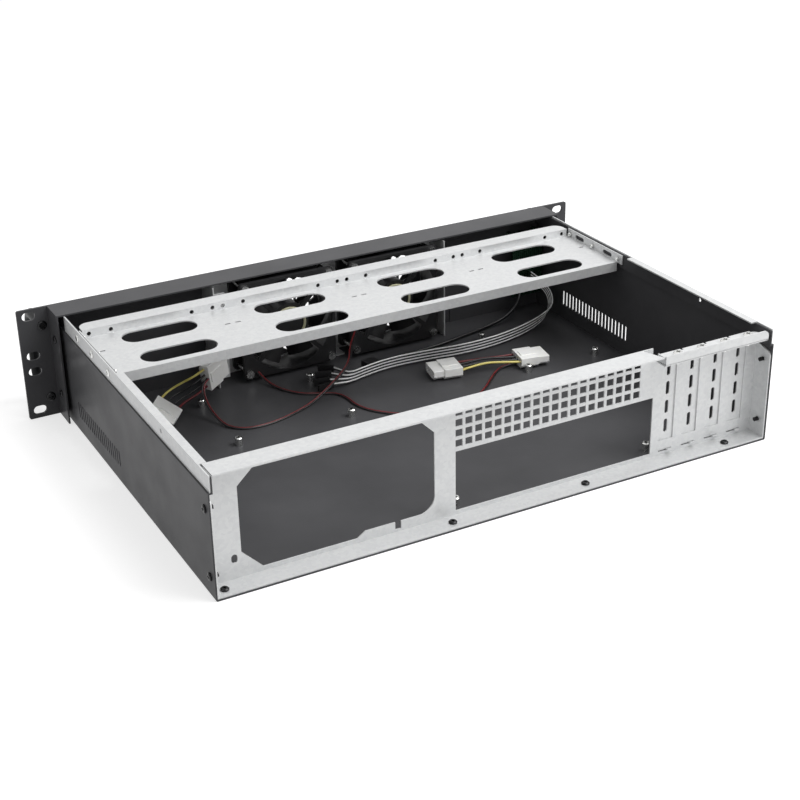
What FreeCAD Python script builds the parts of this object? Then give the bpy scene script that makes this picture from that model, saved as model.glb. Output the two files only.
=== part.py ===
"""Empty 2U rack server case, open on top, seen with its cover off.

Millimetres.  +X is to the left when looking at the rear, -Y is the front, +Z is up.
The origin is the middle of the case's footprint, on the surface that it stands on.
"""
import FreeCAD, Part
import math
import os

Vec = FreeCAD.Vector

# ---------------------------------------------------------------- driving dimensions

# rack panel
PANEL_WIDTH = 482.6
PANEL_HEIGHT = 88.1
PANEL_THICK = 2.0
RACK_HOLE_SPAN = 465.1
RACK_HOLE_HEIGHTS = (6.35, 38.1, 50.8, 82.55)
RACK_HOLE_LENGTH = 10.0
RACK_HOLE_WIDTH = 6.8
PANEL_CORNER = 1.5

# the flanges folded back from the rack panel
HOOD_WIDTH = 436.0
HOOD_THICK = 1.2
HOOD_DEPTH = 23.0
HOOD_LIFT = 0.6

# tray: floor and both walls from one sheet
CASE_DEPTH = 305.0
HANDLE_REACH = 37.0
SHEET = 1.0
TRAY_WIDTH = 428.0
JOGGLE_HEIGHT = 75.5
JOGGLE_DEPTH = 2.2
RAIL_RISE = 11.5
RAIL_CLEARANCE = 0.1
BEND_RADIUS = 1.2
TOE_HEIGHT = 12.7
TOE_LEFT = (100.0, 205.0)
TOE_RIGHT = (-205.0, -125.0)
VENT_COUNT = 20
VENT_SETBACK = 44.0
VENT_PITCH = 4.7
VENT_WIDTH = 2.3
VENT_BOTTOM = 13.0
VENT_TOP = 26.0

# galvanised rails that carry the missing cover
RAIL_THICK = 1.0
RAIL_FRONT_GAP = 0.4
RAIL_SHORT = 0.5
RAIL_FLANGE_WIDTH = 5.8
RAIL_FLANGE_START = 10.0
RAIL_HOLE_RADIUS = 1.6
RAIL_HOLE_INSET = 80.0

# rear panel, a pan set back from the rear edge
REAR_RECESS = 16.0
REAR_THICK = 1.0
REAR_FLANGE_SHORT = 0.5
REAR_SIDE_DROP = 2.5
REAR_SIDE_CLIP = 4.0
REAR_TOP_END_X = -112.0
REAR_TOP_END_SLANT = 6.0
FIT_GAP = 0.2

# cut-outs of the rear panel, seen from behind
SUPPLY_LEFT = 189.4
SUPPLY_RIGHT = 51.8
SUPPLY_DROP = 10.7
SUPPLY_BOTTOM = 5.0
SUPPLY_STEP = 9.0
SUPPLY_STEP_X = 103.2
SUPPLY_STEP_RUN = 6.0
SUPPLY_CLIP = (10.7, 10.1)
SUPPLY_FOOT_CLIP = (14.4, 14.8)
SUPPLY_FAR_CLIP = 9.0
SUPPLY_CORNER = 12.0
SUPPLY_NOTCH_X = 79.3
SUPPLY_NOTCH_WIDTH = 4.4
SUPPLY_NOTCH_DEPTH = 5.5
EARTH_SLOT_X = 194.3
EARTH_SLOT_Z = 16.2
EARTH_SLOT_WIDTH = 4.1
EARTH_SLOT_HEIGHT = 6.2
APERTURE_LEFT = 36.0
APERTURE_WIDTH = 158.75
APERTURE_BOTTOM = 4.6
APERTURE_HEIGHT = 44.45
GRID_COLUMNS = 20
GRID_ROWS = 4
GRID_PITCH = 7.45
GRID_HOLE = 5.3
GRID_DROP = 32.3

# expansion slots
SLOT_COUNT = 4
SLOT_PITCH = 20.32
SLOT_FIRST_X = -135.8
SLOT_WIDTH = 12.5
SLOT_BOTTOM = 13.4
LEDGE_RISE = 4.1
LEDGE_SHORT = 2.0
LEDGE_MARGIN = 6.0
FOOT_SLOT_WIDTH = 11.7
FOOT_SLOT_HEIGHT = 1.6
FOOT_SLOT_Z = 5.2
COVER_WIDTH = 18.4
COVER_THICK = 0.9
COVER_BOTTOM = 4.75
COVER_FOLD = 12.0
COVER_TONGUE = 4.0
COVER_TONGUE_REACH = 2.0
COVER_SLOT_COUNT = 4
COVER_SLOT_PITCH = 14.65
COVER_SLOT_DROP = 11.6
COVER_SLOT_WIDTH = 3.0
COVER_SLOT_LENGTH = 10.4

# bar that clamps the slot covers
CLAMP_THICK = 1.0
CLAMP_FRONT_INSET = 14.0
CLAMP_LEFT_X = -120.0
CLAMP_RIGHT_X = -209.0
CLAMP_SCREW_INSET = 8.0
CLAMP_SCREW_HEAD_RADIUS = 3.5
CLAMP_SCREW_HEAD_HEIGHT = 3.0
CLAMP_CORNER = 5.0

# drive tray across the front half
DRIVE_TRAY_RISE = 3.5
DRIVE_TRAY_THICK = 1.0
DRIVE_TRAY_SETBACK = 53.0
DRIVE_TRAY_DEPTH = 71.0
DRIVE_STEP = 6.0
DRIVE_LIP_DEPTH = 13.0
DRIVE_LIP_WIDTH = 416.0
DRIVE_LIP_CORNER = 8.0
DRIVE_REAR_DROP = 7.6
DRIVE_REAR_HEM = 5.0
DRIVE_SIDE_HEIGHT = 6.5
DRIVE_SIDE_OVERRUN = 5.0
DRIVE_SIDE_GAP = 0.4
CABLE_HOLE_LENGTH = 57.0
CABLE_HOLE_WIDTH = 20.5
CABLE_HOLE_COLUMNS = (-155.4, -51.8, 51.8, 155.4)
CABLE_HOLE_SETBACKS = (16.0, 55.0)
DRIVE_GROUP_PITCH = 103.6
DRIVE_HOLE_OFFSETS = (4.1, 20.6)
DRIVE_HOLE_RADIUS = 1.6
DRIVE_HOLE_RISE = 2.6
DRIVE_SLOT_SETBACK = 28.7
DRIVE_SLOT_LENGTH = 4.6
DRIVE_SLOT_WIDTH = 1.8
DRIVE_SIDE_SETBACKS = (17.0, 56.0)
DRIVE_SIDE_SLOT_LENGTH = 12.0
DRIVE_SIDE_SLOT_WIDTH = 3.4
DRIVE_SCREW_SETBACKS = (4.0, 36.0, 71.0)
DRIVE_SCREW_RISE = 2.5

# board standoffs on the floor, the front row kept clear behind the fans
STANDOFF_TOP = 7.5
STANDOFF_RADIUS = 2.9
STANDOFF_FOOT = 2.0
STANDOFF_THREAD = 1.3
BOARD_LEFT_X = 29.0
BOARD_SPAN_X = 157.48
BOARD_SPAN_Y = 154.94
BOARD_SETBACK = 12.3
FRONT_ROW_GAP = 21.37
SPARE_LEFT_X = 121.0
SPARE_RIGHT_X = -192.0

# fans
FAN_SIZE = 80.0
FAN_DEPTH = 25.0
FAN_BORE = 38.0
FAN_FLANGE = 3.6
FAN_DUCT_WALL = 1.6
FAN_CORNER = 3.0
FAN_HOLE_SPAN = 71.5
FAN_HOLE_RADIUS = 2.2
FAN_CENTRE_Z = 44.0
FAN_CENTRES_X = (35.5, -58.5)
FAN_HUB = 16.5
FAN_TIP = 35.6
FAN_BLADES = 7
FAN_BLADE_THICK = 1.3
BLADE_CHORDS = (17.0, 20.0, 22.0)
BLADE_PITCHES = (48.0, 38.0, 30.0)
FAN_BASE = 17.0
FAN_BASE_THICK = 3.0
FAN_STRUT = 3.4
FAN_SHAFT = 1.5
SHAFT_CLEARANCE = 0.05
FAN_RUN_GAP = 0.8
FAN_BOLT_RADIUS = 1.9
FAN_BOLT_HEAD = 3.4
FAN_NUT_RADIUS = 3.2
FAN_NUT_HEIGHT = 1.8

# sheet between the fans and the rack panel
BRACKET_THICK = 1.0
BRACKET_LEFT_X = 96.5
BRACKET_RIGHT_X = -107.0
BRACKET_TOP = 85.0
BRACKET_FLANGE = 24.0
BRACKET_FOOT = 14.0
BRACKET_LUG = 9.5
BRACKET_LUG_SHORT = (8.0, 5.0)

# honeycomb in the rack panel in front of each fan
COMB_PITCH = 8.8
COMB_HOLE = 7.2
COMB_REACH = 34.0

# handles
HANDLE_X = 223.3
HANDLE_LOW_Z = 15.4
HANDLE_SPAN = 58.5
HANDLE_ROD = 8.0
HANDLE_BEND = 10.0
HANDLE_SCREW_REACH = 9.0
HANDLE_SCREW_RADIUS = 1.9
HANDLE_SCREW_HEAD = 3.6

# front controls at the right of the case
CONTROL_X = -195.0
CONTROL_BOARD_WIDTH = 30.0
CONTROL_BOARD_BOTTOM = 16.0
CONTROL_BOARD_TOP = 74.0
CONTROL_BOARD_THICK = 1.6
CONTROL_BOARD_GAP = 11.0
POWER_BUTTON_Z = 64.0
POWER_BUTTON_RADIUS = 6.0
RESET_BUTTON_Z = 50.0
RESET_BUTTON_RADIUS = 2.5
BUTTON_CLEARANCE = 0.3
BUTTON_PROUD = 1.2
BUTTON_TRAVEL = 1.5
SWITCH_HEIGHT = 3.5
SWITCH_GAP = 0.4
LIGHT_HEIGHTS = (43.0, 37.5)
LIGHT_RADIUS = 1.5
USB_CENTRE_Z = 24.5
USB_WIDTH = 14.4
USB_HEIGHT = 7.0
USB_PITCH = 7.4
USB_OPENING_WIDTH = 12.5
USB_OPENING_HEIGHT = 5.1
PANEL_ENTRY_Z = 30.0
HEADER_DEPTH = 6.0

# screws
SCREW_RADIUS = 1.5
SCREW_HOLE = 1.7
SCREW_HEAD_RADIUS = 2.9
SCREW_HEAD_HEIGHT = 1.3
CORNER_SCREW_INSET = 7.5
CORNER_SCREW_LOW_Z = 14.3
CORNER_SCREW_DROP = 11.0
FLOOR_SCREWS_X = (205.3, 43.1, -62.2, -182.7)
HOOD_SCREW_SETBACK = 15.0
HOOD_SCREW_LOW_Z = 22.0
HOOD_SCREW_DROP = 9.5

# four-way power plugs and the leads between them
PLUG_WIDTH = 21.4
PLUG_HEIGHT = 8.6
PLUG_LENGTH = 24.0
PLUG_NOSE = 9.0
PLUG_PIN_PITCH = 5.08
POWER_LEAD = 1.8
CORD_SEAT = 0.8
ROUTE_PANEL_Y = -134.0
FAN_LEAD = 1.3
PANEL_LEAD = 1.1
PANEL_LEAD_PITCH = 1.25
HEADER_LENGTH = 13.0
HEADER_WIDTH = 5.2
HEADER_HEIGHT = 2.6

# ---------------------------------------------------------------- worked-out places

REAR_Y = (CASE_DEPTH + HANDLE_REACH) / 2.0
PANEL_FRONT_Y = REAR_Y - CASE_DEPTH
PANEL_BACK_Y = PANEL_FRONT_Y + PANEL_THICK
TRAY_HALF = TRAY_WIDTH / 2.0
TRAY_INNER = TRAY_HALF - SHEET
UPPER_OUTER = TRAY_HALF - JOGGLE_DEPTH
UPPER_INNER = UPPER_OUTER - SHEET
HOOD_HALF = HOOD_WIDTH / 2.0
RAIL_OUTER = UPPER_OUTER + RAIL_THICK
RAIL_TOP = JOGGLE_HEIGHT + RAIL_RISE
WALL_HEIGHT = RAIL_TOP - RAIL_THICK - RAIL_CLEARANCE
RAIL_HOLE_Y = REAR_Y - RAIL_HOLE_INSET
VENT_FIRST_Y = PANEL_FRONT_Y + VENT_SETBACK
DRIVE_TRAY_TOP = JOGGLE_HEIGHT + DRIVE_TRAY_RISE
DRIVE_STEP_TOP = DRIVE_TRAY_TOP + DRIVE_STEP
DRIVE_SIDE_TOP = DRIVE_TRAY_TOP + DRIVE_SIDE_HEIGHT
DRIVE_SCREW_Z = DRIVE_TRAY_TOP + DRIVE_SCREW_RISE
DRIVE_TRAY_FRONT_Y = PANEL_FRONT_Y + DRIVE_TRAY_SETBACK
DRIVE_TRAY_REAR_Y = DRIVE_TRAY_FRONT_Y + DRIVE_TRAY_DEPTH
DRIVE_SIDE_REAR_Y = DRIVE_TRAY_REAR_Y + DRIVE_SIDE_OVERRUN
DRIVE_SCREW_ROWS = [DRIVE_TRAY_FRONT_Y + setback for setback in DRIVE_SCREW_SETBACKS]
RAIL_FLANGE_FRONT_Y = DRIVE_SIDE_REAR_Y + RAIL_FLANGE_START
REAR_FACE_Y = REAR_Y - REAR_RECESS
REAR_INNER_Y = REAR_FACE_Y - REAR_THICK
REAR_FLANGE_Y = REAR_Y - REAR_FLANGE_SHORT
REAR_SIDE_HEIGHT = JOGGLE_HEIGHT - REAR_SIDE_DROP
SUPPLY_TOP = RAIL_TOP - SUPPLY_DROP
GRID_FIRST_Z = RAIL_TOP - GRID_DROP
LEDGE_TOP = JOGGLE_HEIGHT + LEDGE_RISE
LEDGE_END_Y = REAR_Y - LEDGE_SHORT
CLAMP_FRONT_Y = REAR_Y - CLAMP_FRONT_INSET
CLAMP_SCREW_Y = REAR_Y - CLAMP_SCREW_INSET
COVER_SLOT_HEIGHTS = [LEDGE_TOP - COVER_SLOT_DROP - COVER_SLOT_PITCH * i for i in range(COVER_SLOT_COUNT)]
CORNER_SCREW_HEIGHTS = (CORNER_SCREW_LOW_Z, REAR_SIDE_HEIGHT - CORNER_SCREW_DROP)
HOOD_SCREW_Y = PANEL_FRONT_Y + HOOD_SCREW_SETBACK
HOOD_SCREW_HEIGHTS = (HOOD_SCREW_LOW_Z, JOGGLE_HEIGHT - HOOD_SCREW_DROP)
BOARD_REAR_Y = REAR_FACE_Y - BOARD_SETBACK
REAR_HALF = TRAY_INNER - FIT_GAP
REAR_TOP_HALF = UPPER_INNER - DRIVE_SIDE_GAP
FLOOR_TOP = SHEET
REAR_FLOOR = FLOOR_TOP + 0.05
COVER_TOP = LEDGE_TOP + 0.1
CLAMP_BOTTOM = COVER_TOP + COVER_THICK + 0.1
CLAMP_TOP = CLAMP_BOTTOM + CLAMP_THICK
BOARD_RIGHT_X = BOARD_LEFT_X - BOARD_SPAN_X
BOARD_MIDDLE_Y = BOARD_REAR_Y - BOARD_SPAN_Y
BRACKET_BACK_Y = PANEL_BACK_Y + BRACKET_THICK
FAN_FRONT_Y = BRACKET_BACK_Y
FAN_REAR_Y = FAN_FRONT_Y + FAN_DEPTH
BOARD_FRONT_Y = FAN_REAR_Y + FRONT_ROW_GAP
ROUTE_SHIFT = PANEL_FRONT_Y - ROUTE_PANEL_Y
HANDLE_BAR_Y = PANEL_FRONT_Y - HANDLE_REACH + HANDLE_ROD / 2.0
CORNER_SCREW_Y = REAR_Y - CORNER_SCREW_INSET
SLOT_CENTRES = [SLOT_FIRST_X - SLOT_PITCH * i for i in range(SLOT_COUNT)]
BOARD_FACE_Y = PANEL_BACK_Y + CONTROL_BOARD_GAP


# ---------------------------------------------------------------- shared shape makers

def block(x, y, z):
    """A box from its (low, high) limits along each axis."""
    size = (x[1] - x[0], y[1] - y[0], z[1] - z[0])
    return Part.makeBox(size[0], size[1], size[2], Vec(x[0], y[0], z[0]))


def spot(axis, u, v, w):
    """A point from two in-plane coordinates and the distance along the axis."""
    if axis == "x":
        return Vec(w, u, v)
    if axis == "y":
        return Vec(u, w, v)
    return Vec(u, v, w)


def plate(corners, axis, start, end):
    """A flat outline of (u, v, corner radius) pushed along the axis from start to end."""
    points = [spot(axis, c[0], c[1], start) for c in corners]
    count = len(points)
    edges = []
    begin = None
    last = None
    for i, corner in enumerate(corners):
        here = points[i]
        before = (points[i - 1] - here).normalize()
        after = (points[(i + 1) % count] - here).normalize()
        entry = here
        leave = here
        if corner[2] > 0:
            half = before.getAngle(after) / 2.0
            middle = (before + after).normalize()
            entry = here + before * (corner[2] / math.tan(half))
            leave = here + after * (corner[2] / math.tan(half))
            crown = here + middle * (corner[2] / math.sin(half) - corner[2])
        if last is not None and last.distanceToPoint(entry) > 1e-4:
            edges.append(Part.LineSegment(last, entry).toShape())
        if corner[2] > 0:
            edges.append(Part.Arc(entry, crown, leave).toShape())
        if begin is None:
            begin = entry
        last = leave
    if last.distanceToPoint(begin) > 1e-4:
        edges.append(Part.LineSegment(last, begin).toShape())
    face = Part.Face(Part.Wire(edges))
    return face.extrude(spot(axis, 0, 0, end) - spot(axis, 0, 0, start))


def oblong(axis, u, v, length_u, length_v, start, end):
    """A slot with round ends, centred on (u, v)."""
    radius = min(length_u, length_v) / 2.0
    low_u = u - length_u / 2.0
    high_u = u + length_u / 2.0
    low_v = v - length_v / 2.0
    high_v = v + length_v / 2.0
    corners = [(low_u, low_v, radius), (high_u, low_v, radius)]
    corners += [(high_u, high_v, radius), (low_u, high_v, radius)]
    return plate(corners, axis, start, end)


def rod(axis, u, v, radius, start, end):
    """A round bar or hole along the axis from start to end."""
    direction = spot(axis, 0, 0, 1)
    return Part.makeCylinder(radius, end - start, spot(axis, u, v, start), direction)


def mirror_x(shape):
    """The same shape on the other side of the case."""
    return shape.mirror(Vec(0, 0, 0), Vec(1, 0, 0))


def cut_all(shape, tools):
    """Take every tool out of the shape in one go."""
    if not tools:
        return shape
    return shape.cut(Part.makeCompound(tools))


def join(shapes):
    """One solid from touching or overlapping shapes."""
    first = shapes[0]
    return first.multiFuse(shapes[1:]).removeSplitter()


def pan_screw(axis, u, v, seat, shank_end, radius=SCREW_RADIUS, head=SCREW_HEAD_RADIUS,
              height=SCREW_HEAD_HEIGHT):
    """A screw whose head sits on seat and whose shank reaches shank_end along the axis."""
    outward = 1.0 if seat > shank_end else -1.0
    top = seat + outward * height
    rim = seat + outward * height * 0.55
    profile = [Vec(0, 0, shank_end), Vec(radius, 0, shank_end), Vec(radius, 0, seat), Vec(head, 0, seat)]
    profile += [Vec(head, 0, rim), Vec(head * 0.72, 0, top), Vec(0, 0, top), Vec(0, 0, shank_end)]
    turned = Part.Face(Part.makePolygon(profile)).revolve(Vec(0, 0, 0), Vec(0, 0, 1), 360)
    recess = Part.makeBox(head, head * 0.28, height * 0.6)
    recess.translate(Vec(-head / 2.0, -head * 0.14, top - height * 0.6 if outward > 0 else top))
    across = recess.copy()
    across.rotate(Vec(0, 0, 0), Vec(0, 0, 1), 90)
    screw = turned.cut(recess).cut(across)
    if axis == "x":
        screw.rotate(Vec(0, 0, 0), Vec(0, 1, 0), 90)
    if axis == "y":
        screw.rotate(Vec(0, 0, 0), Vec(1, 0, 0), -90)
    screw.translate(spot(axis, u, v, 0))
    return screw


# ---------------------------------------------------------------- tray and rails

def chassis_tray():
    """Floor and both walls, folded from one sheet, with a joggle near the top of each wall."""
    r = BEND_RADIUS
    ri = r - SHEET
    right = [(-TRAY_HALF, 0, r), (TRAY_HALF, 0, r), (TRAY_HALF, JOGGLE_HEIGHT, ri)]
    right += [(UPPER_OUTER, JOGGLE_HEIGHT, 0), (UPPER_OUTER, WALL_HEIGHT, 0), (UPPER_INNER, WALL_HEIGHT, 0)]
    right += [(UPPER_INNER, JOGGLE_HEIGHT - SHEET, 0), (TRAY_INNER, JOGGLE_HEIGHT - SHEET, 0)]
    right += [(TRAY_INNER, FLOOR_TOP, ri), (-TRAY_INNER, FLOOR_TOP, ri)]
    left = [(-TRAY_INNER, JOGGLE_HEIGHT - SHEET, 0), (-UPPER_INNER, JOGGLE_HEIGHT - SHEET, 0)]
    left += [(-UPPER_INNER, WALL_HEIGHT, 0), (-UPPER_OUTER, WALL_HEIGHT, 0)]
    left += [(-UPPER_OUTER, JOGGLE_HEIGHT, 0), (-TRAY_HALF, JOGGLE_HEIGHT, ri)]
    body = plate(right + left, "y", PANEL_BACK_Y, REAR_Y)
    toes = []
    for toe in (TOE_LEFT, TOE_RIGHT):
        toes.append(block(toe, (PANEL_BACK_Y, PANEL_BACK_Y + SHEET), (0, TOE_HEIGHT)))
    body = join([body] + toes)
    through = (TRAY_INNER - 2, TRAY_HALF + 2)
    cuts = []
    for i in range(VENT_COUNT):
        y = VENT_FIRST_Y + VENT_PITCH * i
        middle = (VENT_BOTTOM + VENT_TOP) / 2.0
        cuts.append(oblong("x", y, middle, VENT_WIDTH, VENT_TOP - VENT_BOTTOM, through[0], through[1]))
    for z in CORNER_SCREW_HEIGHTS:
        cuts.append(rod("x", CORNER_SCREW_Y, z, SCREW_HOLE, through[0], through[1]))
    for z in HOOD_SCREW_HEIGHTS:
        cuts.append(rod("x", HOOD_SCREW_Y, z, SCREW_HOLE, through[0], through[1]))
    for y in DRIVE_SCREW_ROWS + [RAIL_HOLE_Y]:
        cuts.append(rod("x", y, DRIVE_SCREW_Z, SCREW_HOLE, UPPER_INNER - 2, through[1]))
    cuts += [mirror_x(c) for c in cuts]
    for x, y in standoff_places():
        cuts.append(rod("z", x, y, STANDOFF_FOOT, -1, FLOOR_TOP + 1))
    for x in FLOOR_SCREWS_X:
        cuts.append(rod("z", x, CORNER_SCREW_Y, SCREW_HOLE, -1, FLOOR_TOP + 1))
    return cut_all(body, cuts)


def cover_rail():
    """Left-hand rail: a leg on the wall's ledge and a short flange over the wall's edge."""
    rear = REAR_Y - RAIL_SHORT
    front = PANEL_BACK_Y + HOOD_DEPTH + RAIL_FRONT_GAP
    leg = block((UPPER_OUTER, RAIL_OUTER), (front, rear), (JOGGLE_HEIGHT, RAIL_TOP))
    flange_y = (RAIL_FLANGE_FRONT_Y, REAR_INNER_Y - FIT_GAP)
    flange = block((RAIL_OUTER - RAIL_FLANGE_WIDTH, RAIL_OUTER), flange_y, (RAIL_TOP - RAIL_THICK, RAIL_TOP))
    cuts = []
    for y in DRIVE_SCREW_ROWS:
        cuts.append(rod("x", y, DRIVE_SCREW_Z, SCREW_HOLE, UPPER_INNER, RAIL_OUTER + 1))
    cuts.append(rod("x", RAIL_HOLE_Y, DRIVE_SCREW_Z, RAIL_HOLE_RADIUS, UPPER_INNER, RAIL_OUTER + 1))
    return cut_all(join([leg, flange]), cuts)


# ---------------------------------------------------------------- rear panel

def supply_cutout():
    """Opening for the power supply, with clipped corners and a small notch below."""
    notch_left = SUPPLY_NOTCH_X + SUPPLY_NOTCH_WIDTH / 2.0
    notch_right = SUPPLY_NOTCH_X - SUPPLY_NOTCH_WIDTH / 2.0
    notch_bottom = SUPPLY_STEP - SUPPLY_NOTCH_DEPTH
    outline = [(SUPPLY_LEFT - SUPPLY_CLIP[0], SUPPLY_TOP, 0), (SUPPLY_LEFT, SUPPLY_TOP - SUPPLY_CLIP[1], 0)]
    outline.append((SUPPLY_LEFT, SUPPLY_BOTTOM + SUPPLY_FOOT_CLIP[1], 0))
    outline.append((SUPPLY_LEFT - SUPPLY_FOOT_CLIP[0], SUPPLY_BOTTOM, 0))
    outline += [(SUPPLY_STEP_X + SUPPLY_STEP_RUN, SUPPLY_BOTTOM, 0), (SUPPLY_STEP_X, SUPPLY_STEP, 0)]
    outline += [(notch_left, SUPPLY_STEP, 0), (notch_left, notch_bottom, 0), (notch_right, notch_bottom, 0)]
    outline += [(notch_right, SUPPLY_STEP, 0), (SUPPLY_RIGHT, SUPPLY_STEP, SUPPLY_CORNER)]
    outline.append((SUPPLY_RIGHT, SUPPLY_TOP - SUPPLY_FAR_CLIP, 0))
    outline.append((SUPPLY_RIGHT + SUPPLY_FAR_CLIP, SUPPLY_TOP, 0))
    return plate(outline, "y", REAR_INNER_Y - 1, REAR_FACE_Y + 1)


def rear_panel():
    """Galvanised pan: face, side and bottom flanges, top flange, and the ledge over the slots."""
    face_y = (REAR_INNER_Y, REAR_FACE_Y)
    flange_y = (REAR_INNER_Y, REAR_FLANGE_Y)
    top = (RAIL_TOP - REAR_THICK, RAIL_TOP)
    low_top = SLOT_CENTRES[0] + COVER_WIDTH / 2.0 + LEDGE_MARGIN
    outline = [(-REAR_HALF, REAR_FLOOR, 0), (REAR_HALF, REAR_FLOOR, 0), (REAR_HALF, REAR_SIDE_HEIGHT, 0)]
    outline += [(REAR_TOP_HALF, REAR_SIDE_HEIGHT, 0), (REAR_TOP_HALF, RAIL_TOP, 0), (low_top, RAIL_TOP, 0)]
    outline += [(low_top, LEDGE_TOP, 0), (-REAR_TOP_HALF, LEDGE_TOP, 0)]
    outline += [(-REAR_TOP_HALF, REAR_SIDE_HEIGHT, 0), (-REAR_HALF, REAR_SIDE_HEIGHT, 0)]
    face = plate(outline, "y", face_y[0], face_y[1])
    floor = block((-REAR_HALF, REAR_HALF), flange_y, (REAR_FLOOR, REAR_FLOOR + REAR_THICK))
    side_outline = [(REAR_INNER_Y, REAR_FLOOR, 0), (REAR_FLANGE_Y, REAR_FLOOR, 0)]
    side_outline.append((REAR_FLANGE_Y, REAR_SIDE_HEIGHT - REAR_SIDE_CLIP, REAR_SIDE_CLIP))
    side_outline.append((REAR_INNER_Y, REAR_SIDE_HEIGHT, 0))
    side = plate(side_outline, "x", REAR_HALF - REAR_THICK, REAR_HALF)
    end_x = REAR_TOP_END_X - REAR_TOP_END_SLANT
    brim_outline = [(REAR_TOP_HALF, REAR_INNER_Y, 0), (REAR_TOP_HALF, REAR_Y, 0), (end_x, REAR_Y, 0)]
    brim_outline += [(REAR_TOP_END_X, REAR_FACE_Y, 0), (REAR_TOP_END_X, REAR_INNER_Y, 0)]
    brim = plate(brim_outline, "z", top[0], top[1])
    ledge_z = (LEDGE_TOP - REAR_THICK, LEDGE_TOP)
    ledge = block((-REAR_TOP_HALF, low_top), (REAR_INNER_Y, LEDGE_END_Y), ledge_z)
    body = join([face, floor, side, mirror_x(side), brim, ledge])
    deep = (REAR_INNER_Y - 1, REAR_FACE_Y + 1)
    earth = oblong("y", EARTH_SLOT_X, EARTH_SLOT_Z, EARTH_SLOT_WIDTH, EARTH_SLOT_HEIGHT, deep[0], deep[1])
    cuts = [supply_cutout(), earth]
    aperture = (APERTURE_LEFT - APERTURE_WIDTH, APERTURE_LEFT)
    cuts.append(block(aperture, deep, (APERTURE_BOTTOM, APERTURE_BOTTOM + APERTURE_HEIGHT)))
    for row in range(GRID_ROWS):
        z = GRID_FIRST_Z + GRID_PITCH * row
        for column in range(GRID_COLUMNS):
            x = APERTURE_LEFT - GRID_PITCH * column
            cuts.append(block((x - GRID_HOLE, x), deep, (z - GRID_HOLE / 2.0, z + GRID_HOLE / 2.0)))
    for x in SLOT_CENTRES:
        cuts.append(block((x - SLOT_WIDTH / 2.0, x + SLOT_WIDTH / 2.0), deep, (SLOT_BOTTOM, ledge_z[0])))
        cuts.append(oblong("y", x, FOOT_SLOT_Z, FOOT_SLOT_WIDTH, FOOT_SLOT_HEIGHT, deep[0], deep[1]))
        cuts.append(rod("z", x, CLAMP_SCREW_Y, SCREW_HOLE, ledge_z[0] - 1, ledge_z[1] + 1))
    for x in FLOOR_SCREWS_X:
        cuts.append(rod("z", x, CORNER_SCREW_Y, SCREW_HOLE, REAR_FLOOR - 1, REAR_FLOOR + REAR_THICK + 1))
    for z in CORNER_SCREW_HEIGHTS:
        hole = rod("x", CORNER_SCREW_Y, z, SCREW_HOLE, REAR_HALF - REAR_THICK - 1, REAR_HALF + 1)
        cuts += [hole, mirror_x(hole)]
    return cut_all(body, cuts)


def slot_cover(x):
    """Blanking cover for one slot: strip, top fold over the ledge and tongue through the foot slot."""
    half = COVER_WIDTH / 2.0
    y = (REAR_INNER_Y - COVER_THICK, REAR_INNER_Y)
    top = (COVER_TOP, COVER_TOP + COVER_THICK)
    strip = block((x - half, x + half), y, (COVER_BOTTOM, top[1]))
    fold = block((x - half, x + half), (y[0], REAR_INNER_Y + COVER_FOLD), top)
    tongue_right = x - FOOT_SLOT_WIDTH / 2.0 + FOOT_SLOT_HEIGHT / 2.0
    tongue_z = (FOOT_SLOT_Z - COVER_THICK / 2.0, FOOT_SLOT_Z + COVER_THICK / 2.0)
    tongue_y = (y[0], REAR_FACE_Y + COVER_TONGUE_REACH)
    tongue = block((tongue_right, tongue_right + COVER_TONGUE), tongue_y, tongue_z)
    cuts = [rod("z", x, CLAMP_SCREW_Y, SCREW_HOLE, top[0] - 1, top[1] + 1)]
    for z in COVER_SLOT_HEIGHTS:
        cuts.append(oblong("y", x, z, COVER_SLOT_WIDTH, COVER_SLOT_LENGTH, y[0] - 1, y[1] + 1))
    return cut_all(join([strip, fold, tongue]), cuts)


def slot_clamp_bar():
    """Angle that holds the four cover folds down, with a tab turned up at one end."""
    z = (CLAMP_BOTTOM, CLAMP_TOP)
    foot_outline = [(CLAMP_LEFT_X, CLAMP_FRONT_Y, 0), (CLAMP_LEFT_X, REAR_FLANGE_Y, 0)]
    foot_outline += [(CLAMP_RIGHT_X, REAR_FLANGE_Y, 0), (CLAMP_RIGHT_X, CLAMP_FRONT_Y, CLAMP_CORNER)]
    foot = plate(foot_outline, "z", z[0], z[1])
    lip_outline = [(CLAMP_LEFT_X, z[0], 0), (CLAMP_LEFT_X, RAIL_TOP, 0)]
    lip_outline += [(CLAMP_RIGHT_X, RAIL_TOP, CLAMP_CORNER - 1.0), (CLAMP_RIGHT_X, z[0], 0)]
    lip = plate(lip_outline, "y", REAR_FLANGE_Y - CLAMP_THICK, REAR_FLANGE_Y)
    tab_y = (CLAMP_FRONT_Y + 4.0, REAR_FLANGE_Y)
    tab = block((CLAMP_LEFT_X - CLAMP_THICK, CLAMP_LEFT_X), tab_y, (z[0], RAIL_TOP - REAR_THICK - 0.3))
    cuts = [rod("z", x, CLAMP_SCREW_Y, SCREW_HOLE, z[0] - 1, z[1] + 1) for x in SLOT_CENTRES]
    return cut_all(join([foot, lip, tab]), cuts)


# ---------------------------------------------------------------- drive tray

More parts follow.
